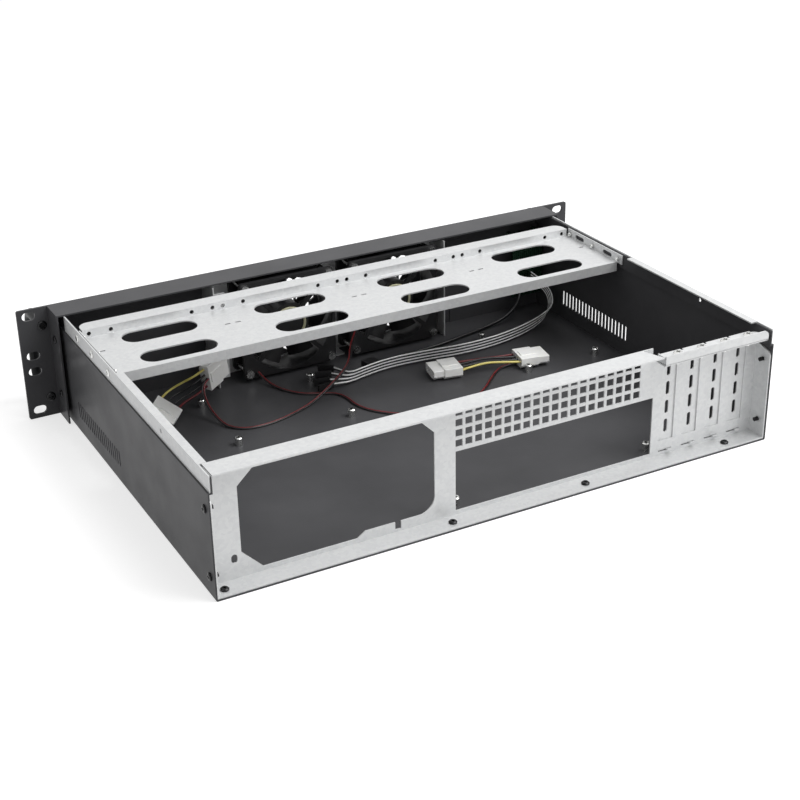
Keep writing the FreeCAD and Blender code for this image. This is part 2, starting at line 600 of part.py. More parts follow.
def drive_tray():
    """Bridge over the front half: raised front lip, cable holes, turned-down rear edge."""
    thick = DRIVE_TRAY_THICK
    half = UPPER_INNER - DRIVE_SIDE_GAP
    under = DRIVE_TRAY_TOP - thick
    deck = block((-half, half), (DRIVE_TRAY_FRONT_Y - thick, DRIVE_TRAY_REAR_Y), (under, DRIVE_TRAY_TOP))
    lip_half = DRIVE_LIP_WIDTH / 2.0
    step_y = (DRIVE_TRAY_FRONT_Y - thick, DRIVE_TRAY_FRONT_Y)
    step = block((-lip_half, lip_half), step_y, (under, DRIVE_STEP_TOP))
    lip_front = DRIVE_TRAY_FRONT_Y - DRIVE_LIP_DEPTH
    lip_outline = [(-lip_half, lip_front, DRIVE_LIP_CORNER), (lip_half, lip_front, DRIVE_LIP_CORNER)]
    lip_outline += [(lip_half, DRIVE_TRAY_FRONT_Y, 0), (-lip_half, DRIVE_TRAY_FRONT_Y, 0)]
    lip = plate(lip_outline, "z", DRIVE_STEP_TOP - thick, DRIVE_STEP_TOP)
    drop_z = (DRIVE_TRAY_TOP - DRIVE_REAR_DROP, DRIVE_TRAY_TOP)
    drop = block((-half + 2, half - 2), (DRIVE_TRAY_REAR_Y - thick, DRIVE_TRAY_REAR_Y), drop_z)
    hem_y = (DRIVE_TRAY_REAR_Y - DRIVE_REAR_HEM, DRIVE_TRAY_REAR_Y)
    hem = block((-half + 2, half - 2), hem_y, (drop_z[0], drop_z[0] + thick))
    side_y = (DRIVE_TRAY_FRONT_Y, DRIVE_SIDE_REAR_Y)
    side = block((half - thick, half), side_y, (under, DRIVE_SIDE_TOP))
    body = join([deck, step, lip, drop, hem, side, mirror_x(side)])
    deep = (under - 1, DRIVE_TRAY_TOP + 1)
    cuts = []
    for x in CABLE_HOLE_COLUMNS:
        for setback in CABLE_HOLE_SETBACKS:
            y = DRIVE_TRAY_FRONT_Y + setback
            cuts.append(oblong("z", x, y, CABLE_HOLE_LENGTH, CABLE_HOLE_WIDTH, deep[0], deep[1]))
    hole_z = DRIVE_TRAY_TOP + DRIVE_HOLE_RISE
    slot_y = DRIVE_TRAY_FRONT_Y + DRIVE_SLOT_SETBACK
    for k in (-2, -1, 0, 1, 2):
        centre = DRIVE_GROUP_PITCH * k
        inner = DRIVE_HOLE_OFFSETS[0]
        for side_sign in (-1, 1):
            for offset in DRIVE_HOLE_OFFSETS:
                x = centre + side_sign * offset
                if abs(x) < lip_half - 3:
                    cuts.append(rod("y", x, hole_z, DRIVE_HOLE_RADIUS, step_y[0] - 1, step_y[1] + 1))
            x = centre + side_sign * inner
            if abs(x) < lip_half - 3:
                cuts.append(oblong("z", x, slot_y, DRIVE_SLOT_LENGTH, DRIVE_SLOT_WIDTH, deep[0], deep[1]))
    sides = []
    for setback in DRIVE_SIDE_SETBACKS:
        y = DRIVE_TRAY_FRONT_Y + setback
        size = (DRIVE_SIDE_SLOT_LENGTH, DRIVE_SIDE_SLOT_WIDTH)
        sides.append(oblong("x", y, DRIVE_SCREW_Z, size[0], size[1], half - 3, half + 1))
    for y in DRIVE_SCREW_ROWS:
        sides.append(rod("x", y, DRIVE_SCREW_Z, SCREW_HOLE, half - 3, half + 1))
    cuts += sides + [mirror_x(s) for s in sides]
    return cut_all(body, cuts)


# ---------------------------------------------------------------- rack panel and handles

def comb_holes(x):
    """Six-sided holes in staggered rows inside the circle that the fan blows through."""
    row_step = COMB_PITCH * math.sqrt(3.0) / 2.0
    rows = int(COMB_REACH / row_step)
    radius = COMB_HOLE / math.sqrt(3.0)
    holes = []
    for row in range(-rows, rows + 1):
        shift = COMB_PITCH / 2.0 if row % 2 else 0.0
        count = int(COMB_REACH / COMB_PITCH) + 1
        for column in range(-count, count + 1):
            u = column * COMB_PITCH + shift
            v = row * row_step
            if math.hypot(u, v) > COMB_REACH:
                continue
            ring = []
            for corner in range(6):
                turn = math.radians(30 + 60 * corner)
                ring.append((x + u + radius * math.cos(turn), FAN_CENTRE_Z + v + radius * math.sin(turn), 0))
            holes.append(plate(ring, "y", PANEL_FRONT_Y - 1, PANEL_BACK_Y + 1))
    return holes


def fan_hole_places(x):
    """Centres of the four corner holes of a fan at x."""
    reach = FAN_HOLE_SPAN / 2.0
    return [(x + i * reach, FAN_CENTRE_Z + j * reach) for i in (-1, 1) for j in (-1, 1)]


def handle_screw_places():
    """Centres of the handle screws, left handle first."""
    heights = (HANDLE_LOW_Z, HANDLE_LOW_Z + HANDLE_SPAN)
    return [(side * HANDLE_X, z) for side in (1, -1) for z in heights]


def front_panel():
    """Rack panel with its folded hood, ventilation, rack slots and control openings."""
    half = PANEL_WIDTH / 2.0
    outline = [(-half, 0, PANEL_CORNER), (half, 0, PANEL_CORNER)]
    outline += [(half, PANEL_HEIGHT, PANEL_CORNER), (-half, PANEL_HEIGHT, PANEL_CORNER)]
    face = plate(outline, "y", PANEL_FRONT_Y, PANEL_BACK_Y)
    hood = [(-HOOD_HALF, HOOD_LIFT, 0), (-HOOD_HALF, PANEL_HEIGHT, 0), (HOOD_HALF, PANEL_HEIGHT, 0)]
    hood += [(HOOD_HALF, HOOD_LIFT, 0), (HOOD_HALF - HOOD_THICK, HOOD_LIFT, 0)]
    hood += [(HOOD_HALF - HOOD_THICK, PANEL_HEIGHT - HOOD_THICK, 0)]
    hood += [(HOOD_THICK - HOOD_HALF, PANEL_HEIGHT - HOOD_THICK, 0), (HOOD_THICK - HOOD_HALF, HOOD_LIFT, 0)]
    shell = plate(hood, "y", PANEL_BACK_Y - PANEL_THICK / 2.0, PANEL_BACK_Y + HOOD_DEPTH)
    body = join([face, shell])
    deep = (PANEL_FRONT_Y - 1, PANEL_BACK_Y + 1)
    cuts = []
    for x in (-RACK_HOLE_SPAN / 2.0, RACK_HOLE_SPAN / 2.0):
        for z in RACK_HOLE_HEIGHTS:
            cuts.append(oblong("y", x, z, RACK_HOLE_LENGTH, RACK_HOLE_WIDTH, deep[0], deep[1]))
    for x, z in handle_screw_places():
        cuts.append(rod("y", x, z, HANDLE_SCREW_RADIUS + 0.4, deep[0], deep[1]))
    for x in FAN_CENTRES_X:
        cuts += comb_holes(x)
        for u, v in fan_hole_places(x):
            cuts.append(rod("y", u, v, FAN_HOLE_RADIUS, deep[0], deep[1]))
    for z, radius in ((POWER_BUTTON_Z, POWER_BUTTON_RADIUS), (RESET_BUTTON_Z, RESET_BUTTON_RADIUS)):
        cuts.append(rod("y", CONTROL_X, z, radius + BUTTON_CLEARANCE, deep[0], deep[1]))
    for z in LIGHT_HEIGHTS:
        cuts.append(rod("y", CONTROL_X, z, LIGHT_RADIUS + 0.1, deep[0], deep[1]))
    usb_half = USB_WIDTH / 2.0 + 0.3
    usb_rise = (USB_PITCH + USB_HEIGHT) / 2.0 + 0.3
    usb_z = (USB_CENTRE_Z - usb_rise, USB_CENTRE_Z + usb_rise)
    cuts.append(block((CONTROL_X - usb_half, CONTROL_X + usb_half), deep, usb_z))
    for z in HOOD_SCREW_HEIGHTS:
        hole = rod("x", HOOD_SCREW_Y, z, SCREW_HOLE, HOOD_HALF - HOOD_THICK - 1, HOOD_HALF + 1)
        cuts += [hole, mirror_x(hole)]
    return cut_all(body, cuts)


def handle(x):
    """Round bar bent to a U, drilled at both feet for its screws."""
    low = Vec(x, PANEL_FRONT_Y, HANDLE_LOW_Z)
    high = Vec(x, PANEL_FRONT_Y, HANDLE_LOW_Z + HANDLE_SPAN)
    out = Vec(0, HANDLE_BAR_Y - PANEL_FRONT_Y, 0)
    path = bent_path([low, low + out, high + out, high], HANDLE_BEND)[0]
    ring = Part.Wire(Part.makeCircle(HANDLE_ROD / 2.0, low, Vec(0, -1, 0)))
    bar = path.makePipeShell([ring], True, False)
    drill_y = (PANEL_FRONT_Y - HANDLE_SCREW_REACH - 3, PANEL_FRONT_Y + 1)
    drill = [rod("y", x, z, HANDLE_SCREW_RADIUS + 0.1, drill_y[0], drill_y[1]) for z in (low.z, high.z)]
    return cut_all(bar, drill)


# ---------------------------------------------------------------- fans

def fan_bracket():
    """Sheet behind the rack panel that the fans bolt through, with turned-back ends and a foot."""
    y = (PANEL_BACK_Y, BRACKET_BACK_Y)
    low = FLOOR_TOP + FIT_GAP
    sheet = block((BRACKET_RIGHT_X, BRACKET_LEFT_X), y, (low, BRACKET_TOP))
    foot_y = (PANEL_BACK_Y, BRACKET_BACK_Y + BRACKET_FOOT)
    gap_x = FAN_CENTRES_X[0] - FAN_SIZE / 2.0 - 1.0
    gap_end = FAN_CENTRES_X[1] + FAN_SIZE / 2.0 + 1.0
    foot = block((gap_end, gap_x), foot_y, (low, low + BRACKET_THICK))
    end_y = (PANEL_BACK_Y, PANEL_BACK_Y + BRACKET_FLANGE)
    left = block((BRACKET_LEFT_X - BRACKET_THICK, BRACKET_LEFT_X), end_y, (low, BRACKET_TOP))
    right = block((BRACKET_RIGHT_X, BRACKET_RIGHT_X + BRACKET_THICK), end_y, (low, BRACKET_TOP))
    lug_y = (end_y[1] - BRACKET_THICK, end_y[1])
    lug_z = (low + BRACKET_LUG_SHORT[0], BRACKET_TOP - BRACKET_LUG_SHORT[1])
    lug = block((BRACKET_LEFT_X - BRACKET_LUG, BRACKET_LEFT_X), lug_y, lug_z)
    body = join([sheet, foot, left, right, lug])
    cuts = []
    for x in FAN_CENTRES_X:
        cuts.append(rod("y", x, FAN_CENTRE_Z, FAN_BORE, y[0] - 1, y[1] + 1))
        for u, v in fan_hole_places(x):
            cuts.append(rod("y", u, v, FAN_HOLE_RADIUS, y[0] - 1, y[1] + 1))
    return cut_all(body, cuts)


def fan_square(x, start, end):
    """Square flange of a fan with rounded corners."""
    half = FAN_SIZE / 2.0
    outline = [(x - half, FAN_CENTRE_Z - half, FAN_CORNER), (x + half, FAN_CENTRE_Z - half, FAN_CORNER)]
    outline += [(x + half, FAN_CENTRE_Z + half, FAN_CORNER), (x - half, FAN_CENTRE_Z + half, FAN_CORNER)]
    return plate(outline, "y", start, end)


def fan_frame(x):
    """Two flanges on a round duct, with the motor base held by four struts at the rear."""
    front = fan_square(x, FAN_FRONT_Y, FAN_FRONT_Y + FAN_FLANGE)
    rear = fan_square(x, FAN_REAR_Y - FAN_FLANGE, FAN_REAR_Y)
    duct = rod("y", x, FAN_CENTRE_Z, FAN_BORE + FAN_DUCT_WALL, FAN_FRONT_Y, FAN_REAR_Y)
    shell = join([front, rear, duct])
    bore = rod("y", x, FAN_CENTRE_Z, FAN_BORE, FAN_FRONT_Y - 1, FAN_REAR_Y + 1)
    flare_length = 3.0
    mouth = Vec(x, FAN_FRONT_Y, FAN_CENTRE_Z)
    flare = Part.makeCone(FAN_BORE + 1.2, FAN_BORE, flare_length, mouth, Vec(0, 1, 0))
    shell = shell.cut(bore).cut(flare)
    base_y = (FAN_REAR_Y - FAN_BASE_THICK, FAN_REAR_Y)
    base = rod("y", x, FAN_CENTRE_Z, FAN_BASE, base_y[0], base_y[1])
    struts = []
    for turn in (45, 135, 225, 315):
        strut = block((0, FAN_BORE + FAN_DUCT_WALL / 2.0), base_y, (-FAN_STRUT / 2.0, FAN_STRUT / 2.0))
        strut.rotate(Vec(0, 0, 0), Vec(0, 1, 0), turn)
        strut.translate(Vec(x, 0, FAN_CENTRE_Z))
        struts.append(strut)
    body = join([shell, base] + struts)
    cuts = [rod("y", x, FAN_CENTRE_Z, FAN_SHAFT + SHAFT_CLEARANCE, base_y[0] - 1, base_y[1] - 0.8)]
    for u, v in fan_hole_places(x):
        cuts.append(rod("y", u, v, FAN_HOLE_RADIUS, FAN_FRONT_Y - 1, FAN_REAR_Y + 1))
    return cut_all(body, cuts)


def blade_section(radius, chord, pitch):
    """Cambered blade section at a radius, its chord turned by pitch from the plane of the fan."""
    points = []
    for share, camber, side in ((-0.5, 0.0, 1), (0.0, 0.09, 1), (0.5, 0.0, 1), (0.0, 0.09, -1)):
        along = chord * share
        rise = chord * camber + side * FAN_BLADE_THICK / 2.0 * (0.35 if abs(share) > 0.4 else 1.0)
        across = along * math.cos(pitch) - rise * math.sin(pitch)
        deep = along * math.sin(pitch) + rise * math.cos(pitch)
        points.append(Vec(across, deep, radius))
    ends = [points[0], points[2]]
    upper = Part.BSplineCurve()
    upper.interpolate([ends[0], points[1], ends[1]])
    lower = Part.BSplineCurve()
    lower.interpolate([ends[1], points[3], ends[0]])
    return Part.Wire([upper.toShape(), lower.toShape()])


def fan_rotor(x):
    """Hub cup with swept blades on a steel shaft that runs in the motor base."""
    hub_front = FAN_FRONT_Y + 1.5
    hub_rear = FAN_REAR_Y - FAN_BASE_THICK - FAN_RUN_GAP
    hub = rod("y", x, FAN_CENTRE_Z, FAN_HUB, hub_front, hub_rear)
    rim = [edge for edge in hub.Edges if abs(edge.BoundBox.YMax - hub_front) < 1e-6 and edge.isClosed()]
    hub = hub.makeFillet(1.5, rim)
    shaft = rod("y", x, FAN_CENTRE_Z, FAN_SHAFT, hub_rear - 1, FAN_REAR_Y - 1.2)
    depth = (hub_front + hub_rear) / 2.0
    radii = (FAN_HUB - 1.0, (FAN_HUB + FAN_TIP) / 2.0, FAN_TIP)
    sections = []
    for radius, chord, pitch in zip(radii, BLADE_CHORDS, BLADE_PITCHES):
        sections.append(blade_section(radius, chord, math.radians(pitch)))
    blade = Part.makeLoft(sections, True, False)
    blades = []
    for i in range(FAN_BLADES):
        copy = blade.copy()
        copy.rotate(Vec(0, 0, 0), Vec(0, 1, 0), 360.0 * i / FAN_BLADES)
        copy.translate(Vec(x, depth, FAN_CENTRE_Z))
        blades.append(copy)
    return join([hub, shaft] + blades)


# ---------------------------------------------------------------- front controls

def button(z, radius):
    """Round push button with a retaining collar and a stem towards its switch."""
    face = PANEL_FRONT_Y - BUTTON_PROUD
    collar = PANEL_BACK_Y + 0.25
    stem_end = BOARD_FACE_Y - SWITCH_HEIGHT - BUTTON_TRAVEL - SWITCH_GAP
    cap = rod("y", CONTROL_X, z, radius, face, collar)
    rim = [edge for edge in cap.Edges if abs(edge.BoundBox.YMax - face) < 1e-6 and edge.isClosed()]
    cap = cap.makeFillet(0.5, rim)
    ring = rod("y", CONTROL_X, z, radius + 1.2, collar, collar + 1.0)
    stem = rod("y", CONTROL_X, z, 1.6, collar, stem_end)
    return join([cap, ring, stem])


def control_board():
    """Small circuit board with two switches, a pin header, and posts that reach the rack panel."""
    half = CONTROL_BOARD_WIDTH / 2.0
    y = (BOARD_FACE_Y, BOARD_FACE_Y + CONTROL_BOARD_THICK)
    card = block((CONTROL_X - half, CONTROL_X + half), y, (CONTROL_BOARD_BOTTOM, CONTROL_BOARD_TOP))
    parts = [card]
    for z in (POWER_BUTTON_Z, RESET_BUTTON_Z):
        switch_y = (BOARD_FACE_Y - SWITCH_HEIGHT, BOARD_FACE_Y)
        parts.append(block((CONTROL_X - 3, CONTROL_X + 3), switch_y, (z - 3, z + 3)))
    for x in (CONTROL_X - half + 3.0, CONTROL_X + half - 3.0):
        parts.append(rod("y", x, CONTROL_BOARD_TOP - 4.0, 2.2, PANEL_BACK_Y, BOARD_FACE_Y))
        parts.append(rod("y", x, CONTROL_BOARD_BOTTOM + 4.0, 2.2, PANEL_BACK_Y, BOARD_FACE_Y))
    header_z = (PANEL_ENTRY_Z - 1.3, PANEL_ENTRY_Z + 8 * PANEL_LEAD_PITCH + 0.3)
    parts.append(block((CONTROL_X - 2.6, CONTROL_X + 2.6), (y[1], y[1] + HEADER_DEPTH), header_z))
    return join(parts)


def indicator_lights():
    """Two round lights that reach from the board through the rack panel."""
    lights = []
    for z in LIGHT_HEIGHTS:
        body = rod("y", CONTROL_X, z, LIGHT_RADIUS, PANEL_FRONT_Y - 0.6, BOARD_FACE_Y)
        lights.append(body)
    return Part.makeCompound(lights)


def usb_socket():
    """Two stacked receptacles in one shell, each with its contact tongue."""
    half = USB_WIDTH / 2.0
    rise = (USB_PITCH + USB_HEIGHT) / 2.0
    shell_z = (USB_CENTRE_Z - rise, USB_CENTRE_Z + rise)
    front = PANEL_FRONT_Y
    shell = block((CONTROL_X - half, CONTROL_X + half), (front, BOARD_FACE_Y), shell_z)
    tongues = []
    for side in (-1, 1):
        z = USB_CENTRE_Z + side * USB_PITCH / 2.0
        open_z = (z - USB_OPENING_HEIGHT / 2.0, z + USB_OPENING_HEIGHT / 2.0)
        opening_half = USB_OPENING_WIDTH / 2.0
        mouth = block((CONTROL_X - opening_half, CONTROL_X + opening_half), (front - 1, front + 9.0), open_z)
        shell = shell.cut(mouth)
        tongue_z = (open_z[1] - 2.4, open_z[1] - 0.6)
        tongues.append(block((CONTROL_X - 5.5, CONTROL_X + 5.5), (front + 1.0, front + 9.5), tongue_z))
    return join([shell] + tongues)


# ---------------------------------------------------------------- fasteners and standoffs

def standoff_places():
    """Where the board standoffs stand on the floor."""
    places = []
    for y in (BOARD_REAR_Y, BOARD_MIDDLE_Y, BOARD_FRONT_Y):
        places += [(BOARD_LEFT_X, y), (BOARD_RIGHT_X, y)]
    places += [(SPARE_LEFT_X, BOARD_MIDDLE_Y), (SPARE_LEFT_X, BOARD_FRONT_Y), (SPARE_RIGHT_X, BOARD_MIDDLE_Y)]
    return places


def standoffs():
    """Threaded pillars pressed into the floor."""
    pillars = []
    for x, y in standoff_places():
        foot = rod("z", x, y, STANDOFF_FOOT, 0.2, FLOOR_TOP)
        body = rod("z", x, y, STANDOFF_RADIUS, FLOOR_TOP, STANDOFF_TOP - 0.6)
        crown = Part.makeCone(STANDOFF_RADIUS, STANDOFF_RADIUS - 0.6, 0.6, Vec(x, y, STANDOFF_TOP - 0.6))
        thread = rod("z", x, y, STANDOFF_THREAD, STANDOFF_TOP - 5.0, STANDOFF_TOP + 1)
        pillars.append(join([foot, body, crown]).cut(thread))
    return Part.makeCompound(pillars)


def slot_screws():
    """Four large-headed screws through the clamp bar, cover folds and ledge."""
    low = LEDGE_TOP - 4.0
    screws = []
    for x in SLOT_CENTRES:
        screw = pan_screw("z", x, CLAMP_SCREW_Y, CLAMP_TOP, low, SCREW_RADIUS, CLAMP_SCREW_HEAD_RADIUS,
                          CLAMP_SCREW_HEAD_HEIGHT)
        screws.append(screw)
    return Part.makeCompound(screws)


def tray_screws():
    """Screws through rail, wall and drive tray on both sides."""
    inner = UPPER_INNER - DRIVE_SIDE_GAP - 3.0
    screws = [pan_screw("x", y, DRIVE_SCREW_Z, RAIL_OUTER, inner, height=1.0) for y in DRIVE_SCREW_ROWS]
    return Part.makeCompound(screws + [mirror_x(s) for s in screws])


def rear_screws():
    """Screws that hold the rear panel to the walls and to the floor."""
    inner = REAR_HALF - 4.0
    sides = [pan_screw("x", CORNER_SCREW_Y, z, TRAY_HALF, inner) for z in CORNER_SCREW_HEIGHTS]
    floor_seat = REAR_FLOOR + REAR_THICK
    floors = [pan_screw("z", x, CORNER_SCREW_Y, floor_seat, 0.1, height=1.6) for x in FLOOR_SCREWS_X]
    return Part.makeCompound(sides + [mirror_x(s) for s in sides] + floors)


def panel_screws():
    """Screws through the hood's side flanges into the walls."""
    inner = TRAY_INNER - 1.5
    sides = [pan_screw("x", HOOD_SCREW_Y, z, HOOD_HALF, inner) for z in HOOD_SCREW_HEIGHTS]
    return Part.makeCompound(sides + [mirror_x(s) for s in sides])


def handle_screws():
    """Screws from behind the rack panel into the handles."""
    end = PANEL_FRONT_Y - HANDLE_SCREW_REACH
    screws = []
    for x, z in handle_screw_places():
        screws.append(pan_screw("y", x, z, PANEL_BACK_Y, end, HANDLE_SCREW_RADIUS, HANDLE_SCREW_HEAD))
    return Part.makeCompound(screws)


def fan_screws():
    """Bolts from the rack panel through bracket and fan, with a pale nut behind each."""
    bolts = []
    for x in FAN_CENTRES_X:
        for u, v in fan_hole_places(x):
            bolt = pan_screw("y", u, v, PANEL_FRONT_Y, FAN_REAR_Y + 1.0, FAN_BOLT_RADIUS, FAN_BOLT_HEAD)
            nut = rod("y", u, v, FAN_NUT_RADIUS, FAN_REAR_Y, FAN_REAR_Y + FAN_NUT_HEIGHT)
            bolts.append(join([bolt, nut]))
    return Part.makeCompound(bolts)


# ---------------------------------------------------------------- cords and plugs

def bent_path(points, fixed_radius=None):
    """Straight runs joined by tangent arcs; also gives the smallest arc radius."""
    edges = []
    last = points[0]
    smallest = 1e9
    for i in range(1, len(points) - 1):
        here = points[i]
        back = points[i - 1] - here
        ahead = points[i + 1] - here
        shorter = min(back.Length, ahead.Length)
        half_turn = (math.pi - back.getAngle(ahead)) / 2.0
        radius = fixed_radius or 0.45 * shorter / math.tan(half_turn)
        reach = radius * math.tan(half_turn)
        entry = here + back.normalize() * reach
        leave = here + ahead.normalize() * reach
        middle = (back + ahead).normalize()
        crown = here + middle * (radius / math.cos(half_turn) - radius)
        edges.append(Part.LineSegment(last, entry).toShape())
        edges.append(Part.Arc(entry, crown, leave).toShape())
        last = leave
        smallest = min(smallest, radius)
    edges.append(Part.LineSegment(last, points[-1]).toShape())
    return Part.Wire(edges), smallest


def cord(name, route, diameter):
    """Plain tube along a route, with its smallest arc radius and length printed."""
    points = [Vec(p[0], p[1] + ROUTE_SHIFT, p[2]) for p in route]
    points[0] = points[0] + (points[0] - points[1]).normalize() * CORD_SEAT
    points[-1] = points[-1] + (points[-1] - points[-2]).normalize() * CORD_SEAT
    path, smallest = bent_path(points)
    ring = Part.Wire(Part.makeCircle(diameter / 2.0, points[0], points[1] - points[0]))
    tube = path.makePipeShell([ring], True, False)
    ideal = math.pi * diameter ** 2 / 4.0 * path.Length
    message = "%s: length %.1f, smallest radius %.1f (%.1f diameters), volume share %.4f"
    print(message % (name, path.Length, smallest, smallest / diameter, tube.Volume / ideal))
    return tube


def unit(direction):
    """A direction of length one."""
    return Vec(direction[0], direction[1], direction[2]).normalize()


def seated(shape, place, forward, across):
    """Move a shape made along local +Y (forward) and +X (across) to its place."""
    y_axis = unit(forward)
    x_axis = unit(across)
    x_axis = (x_axis - y_axis * x_axis.dot(y_axis)).normalize()
    z_axis = x_axis.cross(y_axis)
    turn = FreeCAD.Rotation(x_axis, y_axis, z_axis, "XYZ")
    moved = shape.copy()
    moved.Placement = FreeCAD.Placement(Vec(place[0], place[1] + ROUTE_SHIFT, place[2]), turn)
    return moved


def power_plug(place, forward, across):
    """Four-way power housing: keyed main block, narrower nose with four contact holes."""
    half = PLUG_WIDTH / 2.0
    rise = PLUG_HEIGHT / 2.0
    body_end = PLUG_LENGTH - PLUG_NOSE
    key = 2.2
    outline = [(-half, -rise, 0.4), (half, -rise, 0.4), (half, rise - key, 0.3), (half - key, rise, 0.3)]
    outline += [(key - half, rise, 0.3), (-half, rise - key, 0.3)]
    main = plate(outline, "y", 0, body_end)
    trim = 0.7
    nose_outline = [(-half + trim, -rise + trim, 0.4), (half - trim, -rise + trim, 0.4)]
    nose_outline += [(half - trim, rise - key - trim, 0.3), (half - key - trim, rise - trim, 0.3)]
    nose_outline += [(key + trim - half, rise - trim, 0.3), (-half + trim, rise - key - trim, 0.3)]
    nose = plate(nose_outline, "y", body_end - 1, PLUG_LENGTH)
    rib = block((-4.0, 4.0), (2.0, body_end), (-rise - 0.7, 0))
    housing = join([main, nose, rib])
    holes = []
    for k in (-1.5, -0.5, 0.5, 1.5):
        holes.append(rod("y", k * PLUG_PIN_PITCH, 0, 1.5, PLUG_LENGTH - 7.0, PLUG_LENGTH + 1))
    return seated(cut_all(housing, holes), place, forward, across)


def header(place, forward, across):
    """Two-way crimp housing at the end of a pair of front-panel leads."""
    half = HEADER_WIDTH / 2.0
    shell = block((-half, half), (0, HEADER_LENGTH), (-HEADER_HEIGHT / 2.0, HEADER_HEIGHT / 2.0))
    holes = [rod("y", x, 0, 0.5, HEADER_LENGTH - 6.0, HEADER_LENGTH + 1) for x in (-1.27, 1.27)]
    return seated(cut_all(shell, holes), place, forward, across)


# Each route is a list of (x, y, z) from the first plug, header or fan to the last. It is laid out
# for a rack panel whose front face is at ROUTE_PANEL_Y, and moves with the panel.

LEFT_POWER_ROUTES = {
    "yellow": [(155.1, -82.5, 15.0), (150.0, -88.6, 15.6), (142.0, -91.6, 18.4),
               (132.6, -88.2, 23.6), (124.4, -84.2, 28.2), (116.3, -87.4, 30.2)],
    "black_a": [(151.6, -80.0, 12.3), (146.6, -86.0, 12.8), (138.8, -88.8, 14.8),
                (130.2, -86.2, 19.2), (123.2, -84.0, 23.4), (115.6, -87.9, 25.2)],
    "black_b": [(148.2, -77.5, 9.5), (143.4, -83.4, 9.9), (136.0, -86.6, 11.4),
                (128.4, -84.8, 15.0), (122.2, -84.2, 18.6), (114.8, -88.3, 20.2)],
    "red": [(144.7, -75.1, 6.8), (140.4, -81.0, 7.2), (133.6, -84.8, 8.6),
            (127.0, -84.2, 11.4), (120.8, -85.0, 13.8), (114.1, -88.8, 15.2)],
}

RIGHT_POWER_ROUTES = {
    "yellow": [(-77.5, -30.2, 7.2), (-89.5, -30.6, 8.0), (-102.0, -29.4, 8.4),
               (-114.0, -24.4, 7.8), (-125.5, -19.8, 7.2)],
    "black_a": [(-78.4, -35.2, 7.2), (-90.5, -35.0, 7.6), (-102.5, -32.8, 7.4),
                (-114.5, -28.0, 7.0), (-126.4, -24.8, 7.2)],
    "black_b": [(-79.2, -40.2, 7.2), (-91.5, -38.8, 8.2), (-103.5, -37.4, 8.6),
                (-115.4, -33.2, 8.0), (-127.2, -29.8, 7.2)],
    "red": [(-80.1, -45.2, 7.2), (-92.5, -42.8, 7.0), (-104.8, -41.4, 6.8),
            (-116.5, -37.4, 6.9), (-128.1, -34.8, 7.2)],
}

FAN_LEAD_LEFT = [(113.9, -85.9, 22.7), (119.5, -82.0, 21.5), (122.6, -75.0, 16.0), (122.6, -65.5, 9.5),
                 (120.6, -54.5, 4.6), (118.0, -43.0, 2.2), (110.5, -34.0, 1.8), (99.0, -30.4, 1.8),
                 (83.5, -31.4, 1.8), (65.0, -37.3, 1.8), (46.0, -45.4, 2.6), (31.5, -51.0, 7.5),
                 (18.5, -55.3, 13.5), (7.5, -62.0, 18.0), (0.0, -71.5, 19.8), (-6.0, -83.0, 21.0),
                 (-14.0, -95.0, 22.4), (-22.5, -106.0, 24.0)]

FAN_LEAD_RIGHT = [(64.5, -106.0, 8.5), (62.8, -97.5, 5.0), (58.8, -86.5, 2.3), (53.0, -75.0, 1.8),
                  (45.0, -64.5, 1.8), (33.0, -58.2, 1.8), (22.0, -52.5, 1.8), (18.2, -41.0, 1.8),
                  (18.6, -27.0, 1.8), (13.5, -13.5, 1.8), (4.0, -2.0, 1.8), (-8.0, 8.0, 1.8),
                  (-22.0, 13.8, 1.8), (-38.0, 16.2, 1.8), (-55.0, 14.0, 1.8), (-70.5, 7.0, 1.8),
                  (-84.0, -3.2, 1.8), (-95.5, -14.6, 1.8), (-106.0, -24.4, 1.8), (-116.0, -29.4, 2.4),
                  (-126.9, -27.3, 3.6)]

# (x, y, z of the lowest conductor, lean of the band from upright towards the rear in degrees)
PANEL_LEAD_ROUTE = [(3.0, -64.0, 1.9, 0), (-12.0, -68.4, 1.9, 0), (-36.0, -72.8, 1.9, 0),
                    (-68.0, -70.6, 1.9, 0), (-101.0, -65.4, 1.9, 0), (-134.0, -67.0, 1.9, 0),
                    (-165.0, -75.0, 1.9, 0), (-187.0, -85.0, 3.0, 10), (-200.0, -93.0, 9.5, 45),
                    (-203.5, -99.5, 19.0, 70), (-200.0, -106.5, 26.5, 40), (-195.0, -113.4, 30.0, 0)]

# where each pair leaves its header, and the point between there and the band
PANEL_LEAD_ENDS = [[(20.0, -62.0, 5.0), (11.5, -61.6, 4.2)], [(20.5, -67.5, 6.6), (12.0, -64.8, 6.0)],
                   [(16.0, -73.0, 8.8), (10.6, -67.4, 8.2)], [(11.0, -78.5, 10.2), (7.6, -70.4, 10.4)]]
HEADER_DIRECTIONS = [(1.0, 0.05, 0.0), (1.0, -0.12, 0.0), (0.94, -0.34, 0.0), (0.78, -0.62, 0.0)]

CONTROL_CABLE = 3.0
CONTROL_CABLE_ROUTE = [(-186.0, -119.4, 24.0), (-184.0, -112.5, 20.5), (-176.5, -107.2, 13.5),
                       (-164.0, -104.5, 6.5), (-146.0, -102.4, 3.2), (-121.0, -97.4, 2.7),
                       (-95.0, -91.0, 2.7), (-71.0, -88.4, 2.7), (-50.0, -87.6, 2.9), (-31.0, -84.0, 3.8)]
CONTROL_PLUG_FORWARD = (0.98, 0.19, 0.03)


